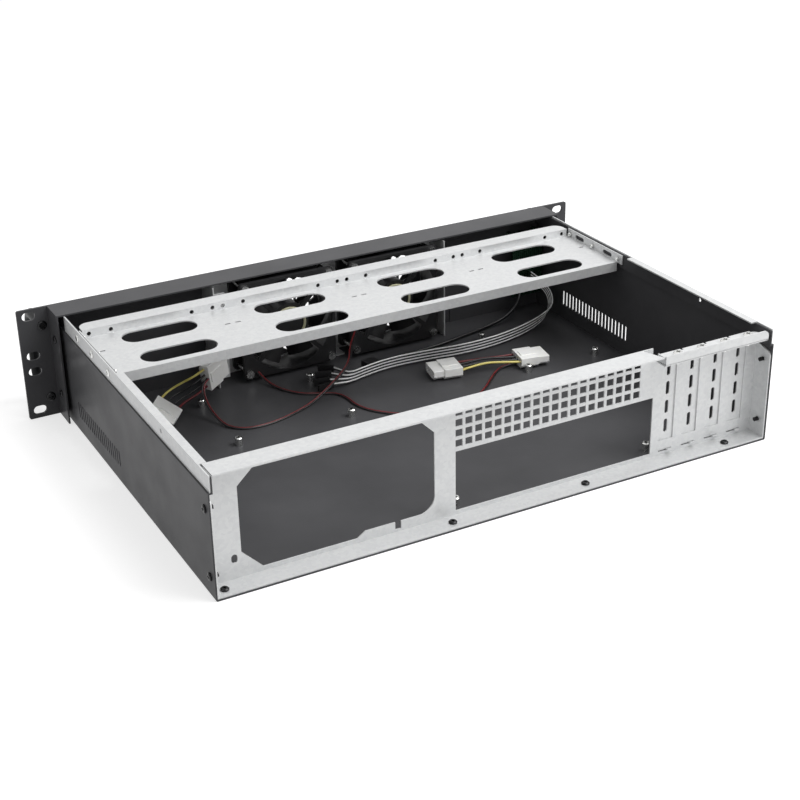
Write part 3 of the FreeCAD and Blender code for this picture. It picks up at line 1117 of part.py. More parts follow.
def beside(route, shift):
    """The route moved sideways on the level, for one wire of a two-wire lead."""
    moved = []
    for i, point in enumerate(route):
        ahead = route[min(i + 1, len(route) - 1)]
        behind = route[max(i - 1, 0)]
        across = unit((behind[1] - ahead[1], ahead[0] - behind[0], 0))
        moved.append((point[0] + across.x * shift, point[1] + across.y * shift, point[2]))
    return moved


def panel_lead_route(index):
    """Route of one of the eight stacked conductors, counted from the floor."""
    pair = index // 2
    half_step = (index % 2 - 0.5) * PANEL_LEAD_PITCH
    route = [(x, y, z + half_step) for x, y, z in PANEL_LEAD_ENDS[pair]]
    count = len(PANEL_LEAD_ROUTE)
    for i, (x, y, z, lean) in enumerate(PANEL_LEAD_ROUTE):
        ahead = PANEL_LEAD_ROUTE[min(i + 1, count - 1)]
        behind = PANEL_LEAD_ROUTE[max(i - 1, 0)]
        along = unit((ahead[0] - behind[0], ahead[1] - behind[1], ahead[2] - behind[2]))
        raw = Vec(0, math.sin(math.radians(lean)), math.cos(math.radians(lean)))
        stack = raw if i == count - 1 else (raw - along * raw.dot(along)).normalize()
        place = Vec(x, y, z) + stack * (PANEL_LEAD_PITCH * index)
        route.append((place.x, place.y, place.z))
    return route


def seat_ends(tube, carriers):
    """Trim a cord where it reaches into what carries it, so that they meet face to face."""
    for carrier in carriers:
        tube = tube.cut(carrier)
    return max(tube.Solids, key=lambda solid: solid.Volume)


def cords(pieces):
    """Every lead and cable with its node name, ended on the pieces that carry it."""
    made = {}
    for side, routes in (("left", LEFT_POWER_ROUTES), ("right", RIGHT_POWER_ROUTES)):
        for colour, route in routes.items():
            name = "power_lead_%s_%s" % (side, colour)
            first = 1 if side == "left" else 3
            ends = [pieces["power_plug_%d" % first], pieces["power_plug_%d" % (first + 1)]]
            made[name] = seat_ends(cord(name, route, POWER_LEAD), ends)
    fan_leads = [("left", FAN_LEAD_LEFT, "power_plug_2", "fan_2_frame")]
    fan_leads.append(("right", FAN_LEAD_RIGHT, "power_plug_4", "fan_1_frame"))
    for side, route, plug, fan in fan_leads:
        for colour, shift in (("red", 0.75), ("black", -0.75)):
            name = "fan_lead_%s_%s" % (side, colour)
            ends = [pieces[plug], pieces[fan]]
            made[name] = seat_ends(cord(name, beside(route, shift), FAN_LEAD), ends)
    for index in range(8):
        name = "panel_lead_%d" % (index + 1)
        ends = [pieces["lead_headers"], pieces["control_board"]]
        made[name] = seat_ends(cord(name, panel_lead_route(index), PANEL_LEAD), ends)
    ends = [pieces["control_board"], pieces["cable_housing"]]
    made["control_cable"] = seat_ends(cord("control_cable", CONTROL_CABLE_ROUTE, CONTROL_CABLE), ends)
    return made


def plugs():
    """Power plugs, lead headers and the cable's housing where they lie."""
    made = {}
    left_out = Vec(-0.58, -0.81, 0)
    made["power_plug_1"] = power_plug((149.9, -78.8, 10.9), left_out * -1, (-0.686, 0.492, -0.536))
    made["power_plug_2"] = power_plug((115.2, -88.1, 22.7), (-0.85, -0.5, 0.17), (0, 0, 1))
    made["power_plug_3"] = power_plug((-78.8, -37.7, 6.5), (0.985, -0.174, 0), (0.174, 0.985, 0))
    made["power_plug_4"] = power_plug((-126.8, -27.3, 6.5), (-0.985, 0.174, 0), (-0.174, -0.985, 0))
    headers = []
    for ends, forward in zip(PANEL_LEAD_ENDS, HEADER_DIRECTIONS):
        headers.append(header(ends[0], forward, (0, 0, 1)))
    made["lead_headers"] = Part.makeCompound(headers)
    housing = block((-6.6, 6.6), (0, 12.0), (-2.4, 2.4))
    made["cable_housing"] = seated(housing, CONTROL_CABLE_ROUTE[-1], CONTROL_PLUG_FORWARD, (0, 1, 0))
    return made


# ---------------------------------------------------------------- the whole case

def build():
    """Every piece of the case by node name."""
    pieces = {
        "chassis_tray": chassis_tray(),
        "cover_rail_left": cover_rail(),
        "cover_rail_right": mirror_x(cover_rail()),
        "rear_panel": rear_panel(),
        "slot_clamp_bar": slot_clamp_bar(),
        "slot_screws": slot_screws(),
        "drive_tray": drive_tray(),
        "tray_screws": tray_screws(),
        "front_panel": front_panel(),
        "handle_left": handle(HANDLE_X),
        "handle_right": handle(-HANDLE_X),
        "handle_screws": handle_screws(),
        "rear_screws": rear_screws(),
        "panel_screws": panel_screws(),
        "fan_bracket": fan_bracket(),
        "fan_screws": fan_screws(),
        "standoffs": standoffs(),
        "control_board": control_board(),
        "power_button": button(POWER_BUTTON_Z, POWER_BUTTON_RADIUS),
        "reset_button": button(RESET_BUTTON_Z, RESET_BUTTON_RADIUS),
        "indicator_lights": indicator_lights(),
        "usb_socket": usb_socket(),
    }
    for i, x in enumerate(SLOT_CENTRES):
        pieces["slot_cover_%d" % (i + 1)] = slot_cover(x)
    for i, x in enumerate(FAN_CENTRES_X):
        pieces["fan_%d_frame" % (i + 1)] = fan_frame(x)
        pieces["fan_%d_rotor" % (i + 1)] = fan_rotor(x)
    pieces.update(plugs())
    pieces.update(cords(pieces))
    return pieces


os.makedirs("parts", exist_ok=True)
for node, shape in build().items():
    if not shape.isValid():
        print("not valid: " + node)
    shape.exportStep("parts/%s.step" % node)
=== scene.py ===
"""Empty two-unit rackmount server case, seen from above its rear, with its lid off."""
import math

import bmesh
import bpy
from mathutils import Matrix, Vector


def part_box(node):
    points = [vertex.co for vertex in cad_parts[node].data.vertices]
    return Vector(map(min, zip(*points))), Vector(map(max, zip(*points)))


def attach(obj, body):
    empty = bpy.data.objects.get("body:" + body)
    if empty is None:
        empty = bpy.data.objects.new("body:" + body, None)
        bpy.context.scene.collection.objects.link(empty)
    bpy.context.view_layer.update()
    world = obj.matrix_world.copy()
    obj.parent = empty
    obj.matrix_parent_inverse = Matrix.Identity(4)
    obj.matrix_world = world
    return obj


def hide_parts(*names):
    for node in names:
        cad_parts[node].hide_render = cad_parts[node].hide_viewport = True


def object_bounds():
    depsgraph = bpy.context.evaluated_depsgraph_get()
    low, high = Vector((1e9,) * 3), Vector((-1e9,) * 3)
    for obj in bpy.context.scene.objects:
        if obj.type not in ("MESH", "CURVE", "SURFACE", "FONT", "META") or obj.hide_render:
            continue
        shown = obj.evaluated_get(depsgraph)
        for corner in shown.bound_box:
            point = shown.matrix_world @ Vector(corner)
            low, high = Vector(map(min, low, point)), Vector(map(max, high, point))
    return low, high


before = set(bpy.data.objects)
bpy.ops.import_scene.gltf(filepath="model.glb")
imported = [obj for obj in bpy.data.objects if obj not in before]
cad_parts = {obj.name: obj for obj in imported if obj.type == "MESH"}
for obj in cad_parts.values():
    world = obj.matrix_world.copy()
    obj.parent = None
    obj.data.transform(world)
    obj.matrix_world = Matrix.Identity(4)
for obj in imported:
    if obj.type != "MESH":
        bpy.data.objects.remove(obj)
cad_box = [list(corner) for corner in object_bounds()]

MM = 0.001


def link(name, data):
    """New object at the origin, in the scene."""
    thing = bpy.data.objects.new(name, data)
    bpy.context.scene.collection.objects.link(thing)
    return thing


# ---------------------------------------------------------------- camera

CAMERA_PLACE = (0.4874, 0.9313, 0.5237)
CAMERA_HEADING = math.radians(207.905)
CAMERA_DIP = math.radians(25.934)
CAMERA_ROLL = math.radians(-1.095)
CAMERA_LENS = 70.0
CAMERA_NEAR = 0.05


def make_camera():
    """Long lens behind the case's left corner, looking down into it."""
    camera = link("camera", bpy.data.cameras.new("camera"))
    camera.data.lens = CAMERA_LENS
    camera.data.clip_start = CAMERA_NEAR
    heading = Matrix.Rotation(-CAMERA_HEADING, 4, "Z")
    tilt = Matrix.Rotation(math.pi / 2 - CAMERA_DIP, 4, "X")
    roll = Matrix.Rotation(CAMERA_ROLL, 4, "Z")
    camera.matrix_world = Matrix.Translation(CAMERA_PLACE) @ heading @ tilt @ roll
    bpy.context.scene.camera = camera


# ---------------------------------------------------------------- leads and cable

# Diameters and spacings in millimetres.

POWER_LEAD = 1.8
FAN_LEAD = 1.3
FAN_LEAD_APART = 0.75
PANEL_LEAD = 1.1
PANEL_LEAD_PITCH = 1.25
PANEL_LEADS = 8
CONTROL_CABLE = 3.0
LEAD_ROUNDING = 4
LEAD_STEPS = 12

# Routes in millimetres. The left fan lead and the panel leads are listed from their free ends.

LEFT_POWER_ROUTES = {
    "yellow": [(155.1, -82.5, 15.0), (150.0, -88.6, 15.6), (142.0, -91.6, 18.4),
               (132.6, -88.2, 23.6), (124.4, -84.2, 28.2), (116.3, -87.4, 30.2)],
    "black_a": [(151.6, -80.0, 12.3), (146.6, -86.0, 12.8), (138.8, -88.8, 14.8),
                (130.2, -86.2, 19.2), (123.2, -84.0, 23.4), (115.6, -87.9, 25.2)],
    "black_b": [(148.2, -77.5, 9.5), (143.4, -83.4, 9.9), (136.0, -86.6, 11.4),
                (128.4, -84.8, 15.0), (122.2, -84.2, 18.6), (114.8, -88.3, 20.2)],
    "red": [(144.7, -75.1, 6.8), (140.4, -81.0, 7.2), (133.6, -84.8, 8.6),
            (127.0, -84.2, 11.4), (120.8, -85.0, 13.8), (114.1, -88.8, 15.2)],
}

RIGHT_POWER_ROUTES = {
    "yellow": [(-77.5, -30.2, 7.2), (-89.5, -30.6, 8.0), (-102.0, -29.4, 8.4),
               (-114.0, -24.4, 7.8), (-125.5, -19.8, 7.2)],
    "black_a": [(-78.4, -35.2, 7.2), (-90.5, -35.0, 7.6), (-102.5, -32.8, 7.4),
                (-114.5, -28.0, 7.0), (-126.4, -24.8, 7.2)],
    "black_b": [(-79.2, -40.2, 7.2), (-91.5, -38.8, 8.2), (-103.5, -37.4, 8.6),
                (-115.4, -33.2, 8.0), (-127.2, -29.8, 7.2)],
    "red": [(-80.1, -45.2, 7.2), (-92.5, -42.8, 7.0), (-104.8, -41.4, 6.8),
            (-116.5, -37.4, 6.9), (-128.1, -34.8, 7.2)],
}

FAN_LEAD_LEFT = [(113.9, -85.9, 22.7), (119.5, -82.0, 21.5), (122.6, -75.0, 16.0), (122.6, -65.5, 9.5),
                 (120.6, -54.5, 4.6), (118.0, -43.0, 2.2), (110.5, -34.0, 1.8), (99.0, -30.4, 1.8),
                 (83.5, -31.4, 1.8), (65.0, -37.3, 1.8), (46.0, -45.4, 2.6), (31.5, -51.0, 7.5),
                 (18.5, -55.3, 13.5), (7.5, -62.0, 18.0), (0.0, -71.5, 19.8), (-6.0, -83.0, 21.0),
                 (-14.0, -95.0, 22.4), (-22.5, -106.0, 24.0)]

FAN_LEAD_RIGHT = [(64.5, -106.0, 8.5), (62.8, -97.5, 5.0), (58.8, -86.5, 2.3), (53.0, -75.0, 1.8),
                  (45.0, -64.5, 1.8), (33.0, -58.2, 1.8), (22.0, -52.5, 1.8), (18.2, -41.0, 1.8),
                  (18.6, -27.0, 1.8), (13.5, -13.5, 1.8), (4.0, -2.0, 1.8), (-8.0, 8.0, 1.8),
                  (-22.0, 13.8, 1.8), (-38.0, 16.2, 1.8), (-55.0, 14.0, 1.8), (-70.5, 7.0, 1.8),
                  (-84.0, -3.2, 1.8), (-95.5, -14.6, 1.8), (-106.0, -24.4, 1.8), (-116.0, -29.4, 2.4),
                  (-126.9, -27.3, 3.6)]

# Each row: x, y and z of the lowest conductor, then how far the band leans from upright towards the
# rear, in degrees.
PANEL_LEAD_ROUTE = [(3.0, -64.0, 1.9, 0), (-12.0, -68.4, 1.9, 0), (-36.0, -72.8, 1.9, 0),
                    (-68.0, -70.6, 1.9, 0), (-101.0, -65.4, 1.9, 0), (-134.0, -67.0, 1.9, 0),
                    (-165.0, -75.0, 1.9, 0), (-187.0, -85.0, 3.0, 10), (-200.0, -93.0, 9.5, 45),
                    (-203.5, -99.5, 19.0, 70), (-200.0, -106.5, 26.5, 40), (-195.0, -113.4, 30.0, 0)]

# Where each pair leaves its header, and the point between there and the band.
PANEL_LEAD_ENDS = [[(20.0, -62.0, 5.0), (11.5, -61.6, 4.2)], [(20.5, -67.5, 6.6), (12.0, -64.8, 6.0)],
                   [(16.0, -73.0, 8.8), (10.6, -67.4, 8.2)], [(11.0, -78.5, 10.2), (7.6, -70.4, 10.4)]]

CONTROL_CABLE_ROUTE = [(-186.0, -119.4, 24.0), (-184.0, -112.5, 20.5), (-176.5, -107.2, 13.5),
                       (-164.0, -104.5, 6.5), (-146.0, -102.4, 3.2), (-121.0, -97.4, 2.7),
                       (-95.0, -91.0, 2.7), (-71.0, -88.4, 2.7), (-50.0, -87.6, 2.9),
                       (-31.0, -84.0, 3.8)]


def beside(route, shift):
    """The route moved sideways on the level, for one wire of a two-wire lead."""
    moved = []
    for i, point in enumerate(route):
        ahead = route[min(i + 1, len(route) - 1)]
        behind = route[max(i - 1, 0)]
        across = Vector((behind[1] - ahead[1], ahead[0] - behind[0], 0)).normalized()
        moved.append(Vector(point) + across * shift)
    return moved


def panel_lead_route(index):
    """Route of one of the eight stacked conductors, counted from the floor."""
    pair = index // 2
    half_step = (index % 2 - 0.5) * PANEL_LEAD_PITCH
    route = [Vector((x, y, z + half_step)) for x, y, z in PANEL_LEAD_ENDS[pair]]
    last = len(PANEL_LEAD_ROUTE) - 1
    for i, (x, y, z, lean) in enumerate(PANEL_LEAD_ROUTE):
        ahead = Vector(PANEL_LEAD_ROUTE[min(i + 1, last)][:3])
        behind = Vector(PANEL_LEAD_ROUTE[max(i - 1, 0)][:3])
        along = (ahead - behind).normalized()
        stack = Vector((0, math.sin(math.radians(lean)), math.cos(math.radians(lean))))
        if i < last:
            stack = (stack - along * stack.dot(along)).normalized()
        route.append(Vector((x, y, z)) + stack * (PANEL_LEAD_PITCH * index))
    return route


def smooth_line(name, route, diameter):
    """Round lead on one smooth open curve along its route.

    The bevel is one metre, so a point's radius is the lead's own in metres.
    """
    curve = bpy.data.curves.new(name, "CURVE")
    curve.dimensions = "3D"
    curve.bevel_depth = 1.0
    curve.bevel_resolution = LEAD_ROUNDING
    curve.resolution_u = LEAD_STEPS
    curve.use_fill_caps = True
    spline = curve.splines.new("NURBS")
    spline.points.add(len(route) - 1)
    for point, place in zip(spline.points, route):
        point.co = [axis * MM for axis in place] + [1.0]
        point.radius = diameter / 2 * MM
    spline.order_u = 3
    spline.use_endpoint_u = True
    return link(name, curve)


def line_length(lead):
    """Length of a lead's own line, without its thickness."""
    depth = lead.data.bevel_depth
    lead.data.bevel_depth = 0
    graph = bpy.context.evaluated_depsgraph_get()
    mesh = bpy.data.meshes.new_from_object(lead.evaluated_get(graph))
    lead.data.bevel_depth = depth
    places = [vertex.co for vertex in mesh.vertices]
    total = sum((places[a] - places[b]).length for a, b in (edge.vertices for edge in mesh.edges))
    bpy.data.meshes.remove(mesh)
    return total


def lay_lead(node, route, diameter, slot):
    """One lead in place of its solid."""
    lead = smooth_line(node + "_wire", route, diameter)
    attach(lead, "case")
    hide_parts(node)
    line_length(lead)
    lead.data.materials.append(finishes[slot])


def insulation(colour):
    """Slot of a power or fan lead from its colour word."""
    return "insulation_" + colour.split("_")[0]


def lay_leads():
    """Every lead and cable in the case."""
    pigtails = (("left", LEFT_POWER_ROUTES, ["power_plug_1", "power_plug_2"]),
                ("right", RIGHT_POWER_ROUTES, ["power_plug_3", "power_plug_4"]))
    for side, routes, plugs in pigtails:
        for colour, route in routes.items():
            node = "power_lead_%s_%s" % (side, colour)
            lay_lead(node, route, POWER_LEAD, insulation(colour))
    for colour, shift in (("red", FAN_LEAD_APART), ("black", -FAN_LEAD_APART)):
        left = beside(FAN_LEAD_LEFT, shift)[::-1]
        slot = insulation(colour)
        lay_lead("fan_lead_left_" + colour, left, FAN_LEAD, slot)
        right = beside(FAN_LEAD_RIGHT, shift)
        lay_lead("fan_lead_right_" + colour, right, FAN_LEAD, slot)
    for index in range(PANEL_LEADS):
        slot = "insulation_white" if index % 2 else "insulation_black"
        route = panel_lead_route(index)[::-1]
        lay_lead("panel_lead_%d" % (index + 1), route, PANEL_LEAD, slot)
    lay_lead("control_cable", CONTROL_CABLE_ROUTE, CONTROL_CABLE, "insulation_black")


# ---------------------------------------------------------------- fan base rings

RING_RADIUS = 13.2
RING_THICK = 2.0
RING_SIDES = 12
RING_STEPS = 48


def base_ring(number, look):
    """Pale moulded ring on the back of a fan's motor base."""
    low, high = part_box("fan_%d_frame" % number)
    shape = bmesh.new()
    bmesh.ops.create_circle(shape, segments=RING_SIDES, radius=RING_THICK / 2 * MM)
    bmesh.ops.translate(shape, verts=shape.verts, vec=(RING_RADIUS * MM, 0, 0))
    bmesh.ops.spin(shape, geom=shape.verts[:] + shape.edges[:], cent=(0, 0, 0), axis=(0, 1, 0),
                   angle=math.tau, steps=RING_STEPS, use_merge=True)
    bmesh.ops.recalc_face_normals(shape, faces=shape.faces)
    centre = ((low[0] + high[0]) / 2, high[1] + RING_THICK / 2 * MM, (low[2] + high[2]) / 2)
    bmesh.ops.translate(shape, verts=shape.verts, vec=centre)
    for face in shape.faces:
        face.smooth = True
    name = "fan_%d_base_ring" % number
    mesh = bpy.data.meshes.new(name)
    shape.to_mesh(mesh)
    shape.free()
    ring = link(name, mesh)
    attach(ring, "case")
    ring.data.materials.append(look)


# ---------------------------------------------------------------- finishes

CLOUD_DETAIL = 3.0
CLOUD_START = 0.3
CLOUD_END = 0.7
PAINT_SHINE = 0.1
SHEET_METAL_SHARE = 0.45


def linear(code):
    """Linear colour of an sRGB hex code."""
    shares = [int(code[i:i + 2], 16) / 255 for i in (0, 2, 4)]
    return [s / 12.92 if s <= 0.04045 else ((s + 0.055) / 1.055) ** 2.4 for s in shares] + [1.0]


def per_metre(size_mm):
    """Texture scale that gives features of a size in millimetres."""
    return 1.0 / (size_mm * MM)


def add(tree, kind, inputs=None, stops=None, **settings):
    """Node with its settings, its inputs as values or links, and the stops of a colour ramp."""
    node = tree.nodes.new(kind)
    for key, value in settings.items():
        setattr(node, key, value)
    for key, value in (inputs or {}).items():
        if isinstance(value, bpy.types.NodeSocket):
            tree.links.new(value, node.inputs[key])
        else:
            node.inputs[key].default_value = value
    for i, (position, colour) in enumerate(stops or ()):
        element = node.color_ramp.elements[i] if i < 2 else node.color_ramp.elements.new(position)
        element.position = position
        element.color = colour if isinstance(colour, (list, tuple)) else (colour, colour, colour, 1.0)
    return node


def new_finish(name):
    """Empty material with its tree, surface shader and object coordinates."""
    material = bpy.data.materials.new(name)
    material.use_nodes = True
    tree = material.node_tree
    surface = tree.nodes["Principled BSDF"]
    place = add(tree, "ShaderNodeTexCoord").outputs["Object"]
    return material, tree, surface, place


def noise(tree, place, size_mm, detail):
    """Share from a noise pattern of a feature size."""
    return add(tree, "ShaderNodeTexNoise",
               {"Vector": place, "Scale": per_metre(size_mm), "Detail": detail}).outputs["Fac"]


def vary(tree, surface, place, socket, size_mm, low, high):
    """Gives a shader's socket a cloudy pattern between two shares or colours."""
    cloud = noise(tree, place, size_mm, CLOUD_DETAIL)
    spread = add(tree, "ShaderNodeValToRGB", {"Fac": cloud},
                 stops=[(CLOUD_START, low), (CLOUD_END, high)])
    tree.links.new(spread.outputs["Color"], surface.inputs[socket])


def relief(tree, surface, height, depth_mm, strength):
    """Bump on a shader from a height pattern."""
    bump = add(tree, "ShaderNodeBump",
               {"Height": height, "Distance": depth_mm * MM, "Strength": strength})
    tree.links.new(bump.outputs["Normal"], surface.inputs["Normal"])


def powder_coat(name, dark, light, roughness):
    """Powder coat on sheet steel: satin, with fine orange peel that blurs the highlights."""
    material, tree, surface, place = new_finish(name)
    vary(tree, surface, place, "Base Color", 60, linear(dark), linear(light))
    vary(tree, surface, place, "Roughness", 25, roughness - 0.04, roughness + 0.05)
    surface.inputs["Specular IOR Level"].default_value = PAINT_SHINE
    relief(tree, surface, noise(tree, place, 1.4, 1.5), 0.05, 0.5)
    return material


def galvanised_sheet():
    """Electro-galvanised sheet: even pale grey zinc with a soft sheen and very faint rolling marks."""
    material, tree, surface, place = new_finish("galvanised_sheet_steel")
    crystals = add(tree, "ShaderNodeTexVoronoi", {"Vector": place, "Scale": per_metre(2.2)})
    grain = add(tree, "ShaderNodeSeparateColor", {"Color": crystals.outputs["Color"]}).outputs["Red"]
    tone = add(tree, "ShaderNodeValToRGB", {"Fac": grain},
               stops=[(0.0, linear("CBCCCD")), (1.0, linear("D3D4D4"))]).outputs["Color"]
    tree.links.new(tone, surface.inputs["Base Color"])
    surface.inputs["Metallic"].default_value = SHEET_METAL_SHARE
    vary(tree, surface, place, "Roughness", 18, 0.40, 0.50)
    long_grain = add(tree, "ShaderNodeMapping", {"Vector": place, "Scale": (0.05, 1.0, 1.0)})
    relief(tree, surface, noise(tree, long_grain.outputs["Vector"], 0.8, 3.0), 0.01, 0.25)
    return material


def bright_plating():
    """Bright zinc plating on steel: mirror-like, with slight blur from handling."""
    material, tree, surface, place = new_finish("bright_zinc_plated_steel")
    vary(tree, surface, place, "Base Color", 4, linear("D2D3D2"), linear("E6E6E3"))
    surface.inputs["Metallic"].default_value = 1.0
    vary(tree, surface, place, "Roughness", 2, 0.16, 0.30)
    relief(tree, surface, noise(tree, place, 0.5, 1.0), 0.01, 0.4)
    return material


def black_zinc():
    """Black zinc plating on screws: dark, glossy, with sharp small highlights."""
    material, tree, surface, place = new_finish("black_zinc_plated_steel")
    vary(tree, surface, place, "Base Color", 3, linear("161617"), linear("222224"))
    surface.inputs["Metallic"].default_value = 0.6
    vary(tree, surface, place, "Roughness", 1.5, 0.18, 0.28)
    relief(tree, surface, noise(tree, place, 0.5, 1.0), 0.01, 0.3)
    return material


def moulded_plastic(name, dark, light, roughness, grain_mm, depth_mm, ior=1.53):
    """Moulded plastic with the spark-eroded grain of its mould, its size and depth in millimetres."""
    material, tree, surface, place = new_finish(name)
    vary(tree, surface, place, "Base Color", 8, linear(dark), linear(light))
    vary(tree, surface, place, "Roughness", 3, roughness - 0.05, roughness + 0.05)
    surface.inputs["IOR"].default_value = ior
    relief(tree, surface, noise(tree, place, grain_mm, 2.0), depth_mm, 0.5)
    return material


def natural_nylon():
    """Natural nylon 66: milky white, slightly see-through at thin walls, soft gloss."""
    material = moulded_plastic("natural_white_nylon", "F6F6F3", "FDFDFB", 0.36, 0.6, 0.01)
    surface = material.node_tree.nodes["Principled BSDF"]
    surface.inputs["Subsurface Weight"].default_value = 0.15
    surface.inputs["Subsurface Radius"].default_value = (1.0, 1.0, 0.9)
    surface.inputs["Subsurface Scale"].default_value = 1.2 * MM
    return material


def vinyl_insulation(name, dark, light):
    """Extruded vinyl insulation: smooth, half gloss, faintly rippled along its length."""
    material, tree, surface, place = new_finish(name)
    vary(tree, surface, place, "Base Color", 6, linear(dark), linear(light))
    vary(tree, surface, place, "Roughness", 3, 0.32, 0.42)
    surface.inputs["IOR"].default_value = 1.54
    relief(tree, surface, noise(tree, place, 1.2, 1.0), 0.02, 0.5)
    return material


def solder_mask():
    """Dark green solder mask over glass laminate: half gloss, copper tracks showing as lighter lines."""
    material, tree, surface, place = new_finish("dark_green_solder_mask")
    tracks = add(tree, "ShaderNodeTexBrick",
                 {"Vector": place, "Scale": per_metre(4), "Mortar Size": 0.05,
                  "Color1": linear("12261B"), "Color2": linear("102218"), "Mortar": linear("1D3A29")})
    tree.links.new(tracks.outputs["Color"], surface.inputs["Base Color"])
    vary(tree, surface, place, "Roughness", 5, 0.22, 0.30)
    relief(tree, surface, tracks.outputs["Fac"], 0.02, 0.6)
    return material


def light_lens():
    """Water-clear epoxy of the indicator lights, milky from the diffuser in it."""
    material = moulded_plastic("diffused_epoxy_lens", "C9D2CB", "DCE3DD", 0.2, 0.8, 0.005, ior=1.55)
    surface = material.node_tree.nodes["Principled BSDF"]
    surface.inputs["Transmission Weight"].default_value = 0.4
    return material


def make_finishes():
    """Finish of each slot in the record."""
    return {
        "black_paint": powder_coat("satin_black_powder_coat", "454547", "4D4D4F", 0.36),
        "black_handle": powder_coat("satin_black_handle_coat", "1E1F20", "262728", 0.36),
        "galvanised": galvanised_sheet(),
        "plated_screw": bright_plating(),
        "black_screw": black_zinc(),
        "usb_shell": bright_plating(),
        "fan_plastic": moulded_plastic("black_glass_filled_polyester", "141415", "1C1C1E",
                                       0.5, 0.9, 0.02),
        "button_plastic": moulded_plastic("black_abs", "1B1B1D", "232326", 0.4, 0.5, 0.01),
        "black_housing": moulded_plastic("black_nylon", "121213", "1A1A1C", 0.45, 0.6, 0.01),
        "circuit_board": solder_mask(),
        "light_lens": light_lens(),
        "plug_nylon": natural_nylon(),
        "insulation_yellow": vinyl_insulation("yellow_vinyl", "D9C968", "E6D980"),
        "insulation_red": vinyl_insulation("red_vinyl", "611519", "731C1F"),
        "insulation_black": vinyl_insulation("black_vinyl", "131314", "1B1B1D"),
        "insulation_white": vinyl_insulation("white_vinyl", "F8F8F6", "FFFFFF"),
    }


NODE_FINISHES = {
    "black_paint": ["chassis_tray", "front_panel"],
    "galvanised": ["cover_rail_left", "cover_rail_right", "rear_panel", "slot_clamp_bar", "drive_tray",
                   "slot_cover_1", "slot_cover_2", "slot_cover_3", "slot_cover_4", "fan_bracket"],
    "plated_screw": ["slot_screws", "tray_screws", "fan_screws", "standoffs"],
    "black_screw": ["rear_screws", "handle_screws", "panel_screws"],
    "black_handle": ["handle_left", "handle_right"],
    "fan_plastic": ["fan_1_frame", "fan_2_frame", "fan_1_rotor", "fan_2_rotor"],
    "circuit_board": ["control_board"],
    "button_plastic": ["power_button", "reset_button"],
    "light_lens": ["indicator_lights"],
    "usb_shell": ["usb_socket"],
    "plug_nylon": ["power_plug_1", "power_plug_2", "power_plug_3", "power_plug_4"],
    "black_housing": ["lead_headers", "cable_housing"],
}


def dress_nodes():
    """Puts the finishes on the nodes that stay as they are."""
    for slot, nodes in NODE_FINISHES.items():
        for name in nodes:
            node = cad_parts[name]
            if not node.material_slots:
                node.data.materials.append(finishes[slot])
            for place in node.material_slots:
                place.material = finishes[slot]


# ---------------------------------------------------------------- floor and light

FLOOR_HALF = 4.0
FLOOR_GAP = 0.2
FLOOR_PAPER = "C2C2C2"
FLOOR_GLOW = 0.65
WHITE = (1.0, 1.0, 1.0, 1.0)
SURROUNDINGS_LIGHT = 0.46
LAMP_TARGET = Vector((0, 0, 0.05))

# Each lamp's place and side in metres, and its power in watts.
LAMPS = {
    "key": ((-0.8, 0.5, 1.5), 1.4, 34.0),
    "fill": ((0.1, 1.7, 1.0), 1.8, 3.0),
}


def seen_directly(tree):
    """1 for what the eye, a reflection or clear plastic looks at, 0 for light that falls on the case."""
    path = add(tree, "ShaderNodeLightPath").outputs
    eye = add(tree, "ShaderNodeMath", {0: path["Is Camera Ray"], 1: path["Is Glossy Ray"]},
              operation="MAXIMUM")
    return add(tree, "ShaderNodeMath", {0: eye.outputs[0], 1: path["Is Transmission Ray"]},
               operation="MAXIMUM").outputs[0]


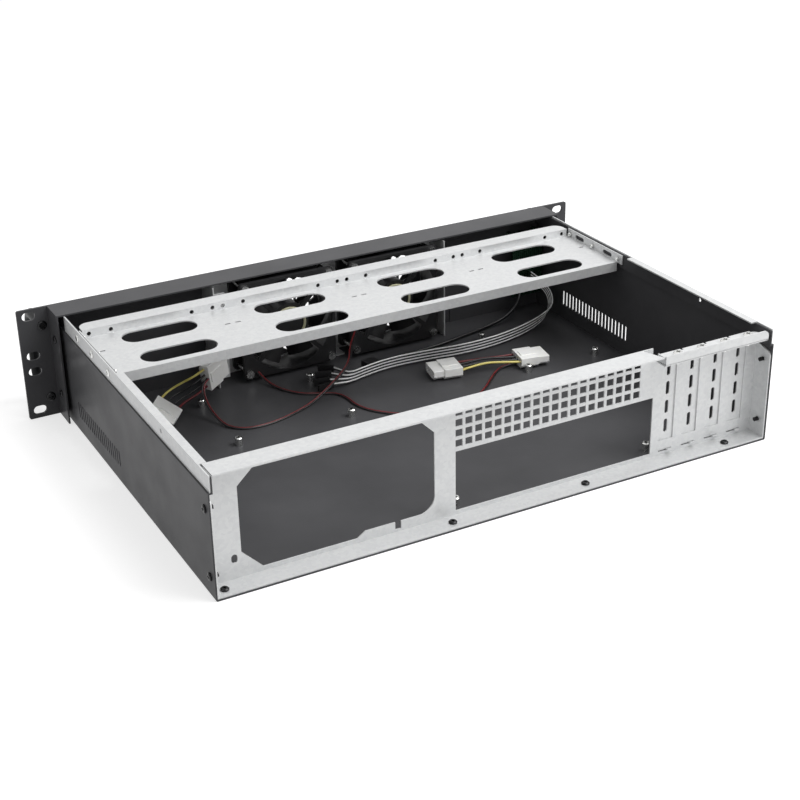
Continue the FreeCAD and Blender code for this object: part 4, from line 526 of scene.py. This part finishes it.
def make_floor():
    """Pale paper floor, lifted to white for the eye, that keeps a soft shadow under the case."""
    mesh = bpy.data.meshes.new("floor")
    shape = bmesh.new()
    bmesh.ops.create_grid(shape, x_segments=1, y_segments=1, size=FLOOR_HALF)
    bmesh.ops.translate(shape, verts=shape.verts, vec=(0, 0, cad_box[0][2] - FLOOR_GAP * MM))
    shape.to_mesh(mesh)
    shape.free()
    floor = link("floor", mesh)
    material = bpy.data.materials.new("white_paper")
    material.use_nodes = True
    tree = material.node_tree
    tree.nodes.clear()
    paper = add(tree, "ShaderNodeBsdfDiffuse", {"Color": linear(FLOOR_PAPER)})
    share = add(tree, "ShaderNodeMath", {0: seen_directly(tree), 1: FLOOR_GLOW}, operation="MULTIPLY")
    glow = add(tree, "ShaderNodeEmission", {"Color": WHITE, "Strength": share.outputs[0]})
    lit = add(tree, "ShaderNodeAddShader", {0: paper.outputs[0], 1: glow.outputs[0]})
    add(tree, "ShaderNodeOutputMaterial", {"Surface": lit.outputs[0]})
    floor.data.materials.append(material)


def make_light():
    """White surroundings, a broad lamp above the case's right side and a weak one behind it."""
    world = bpy.data.worlds.new("surroundings")
    bpy.context.scene.world = world
    world.use_nodes = True
    tree = world.node_tree
    tree.nodes.clear()
    light = add(tree, "ShaderNodeBackground", {"Color": WHITE, "Strength": SURROUNDINGS_LIGHT})
    seen = add(tree, "ShaderNodeBackground", {"Color": WHITE, "Strength": 1.0})
    both = add(tree, "ShaderNodeMixShader",
               {"Fac": seen_directly(tree), 1: light.outputs[0], 2: seen.outputs[0]})
    add(tree, "ShaderNodeOutputWorld", {"Surface": both.outputs[0]})
    for name, (place, size, power) in LAMPS.items():
        lamp = bpy.data.lights.new(name, "AREA")
        lamp.shape = "SQUARE"
        lamp.size = size
        lamp.energy = power
        holder = link(name, lamp)
        holder.location = place
        aim = LAMP_TARGET - Vector(place)
        holder.rotation_euler = aim.to_track_quat("-Z", "Y").to_euler()


make_camera()
finishes = make_finishes()
lay_leads()
dress_nodes()
cream_nylon = moulded_plastic("cream_nylon", "E2DFB8", "EDEAC6", 0.4, 0.6, 0.01)
for fan in (1, 2):
    base_ring(fan, cream_nylon)
make_floor()
make_light()

bpy.context.scene.view_settings.view_transform = "Standard"
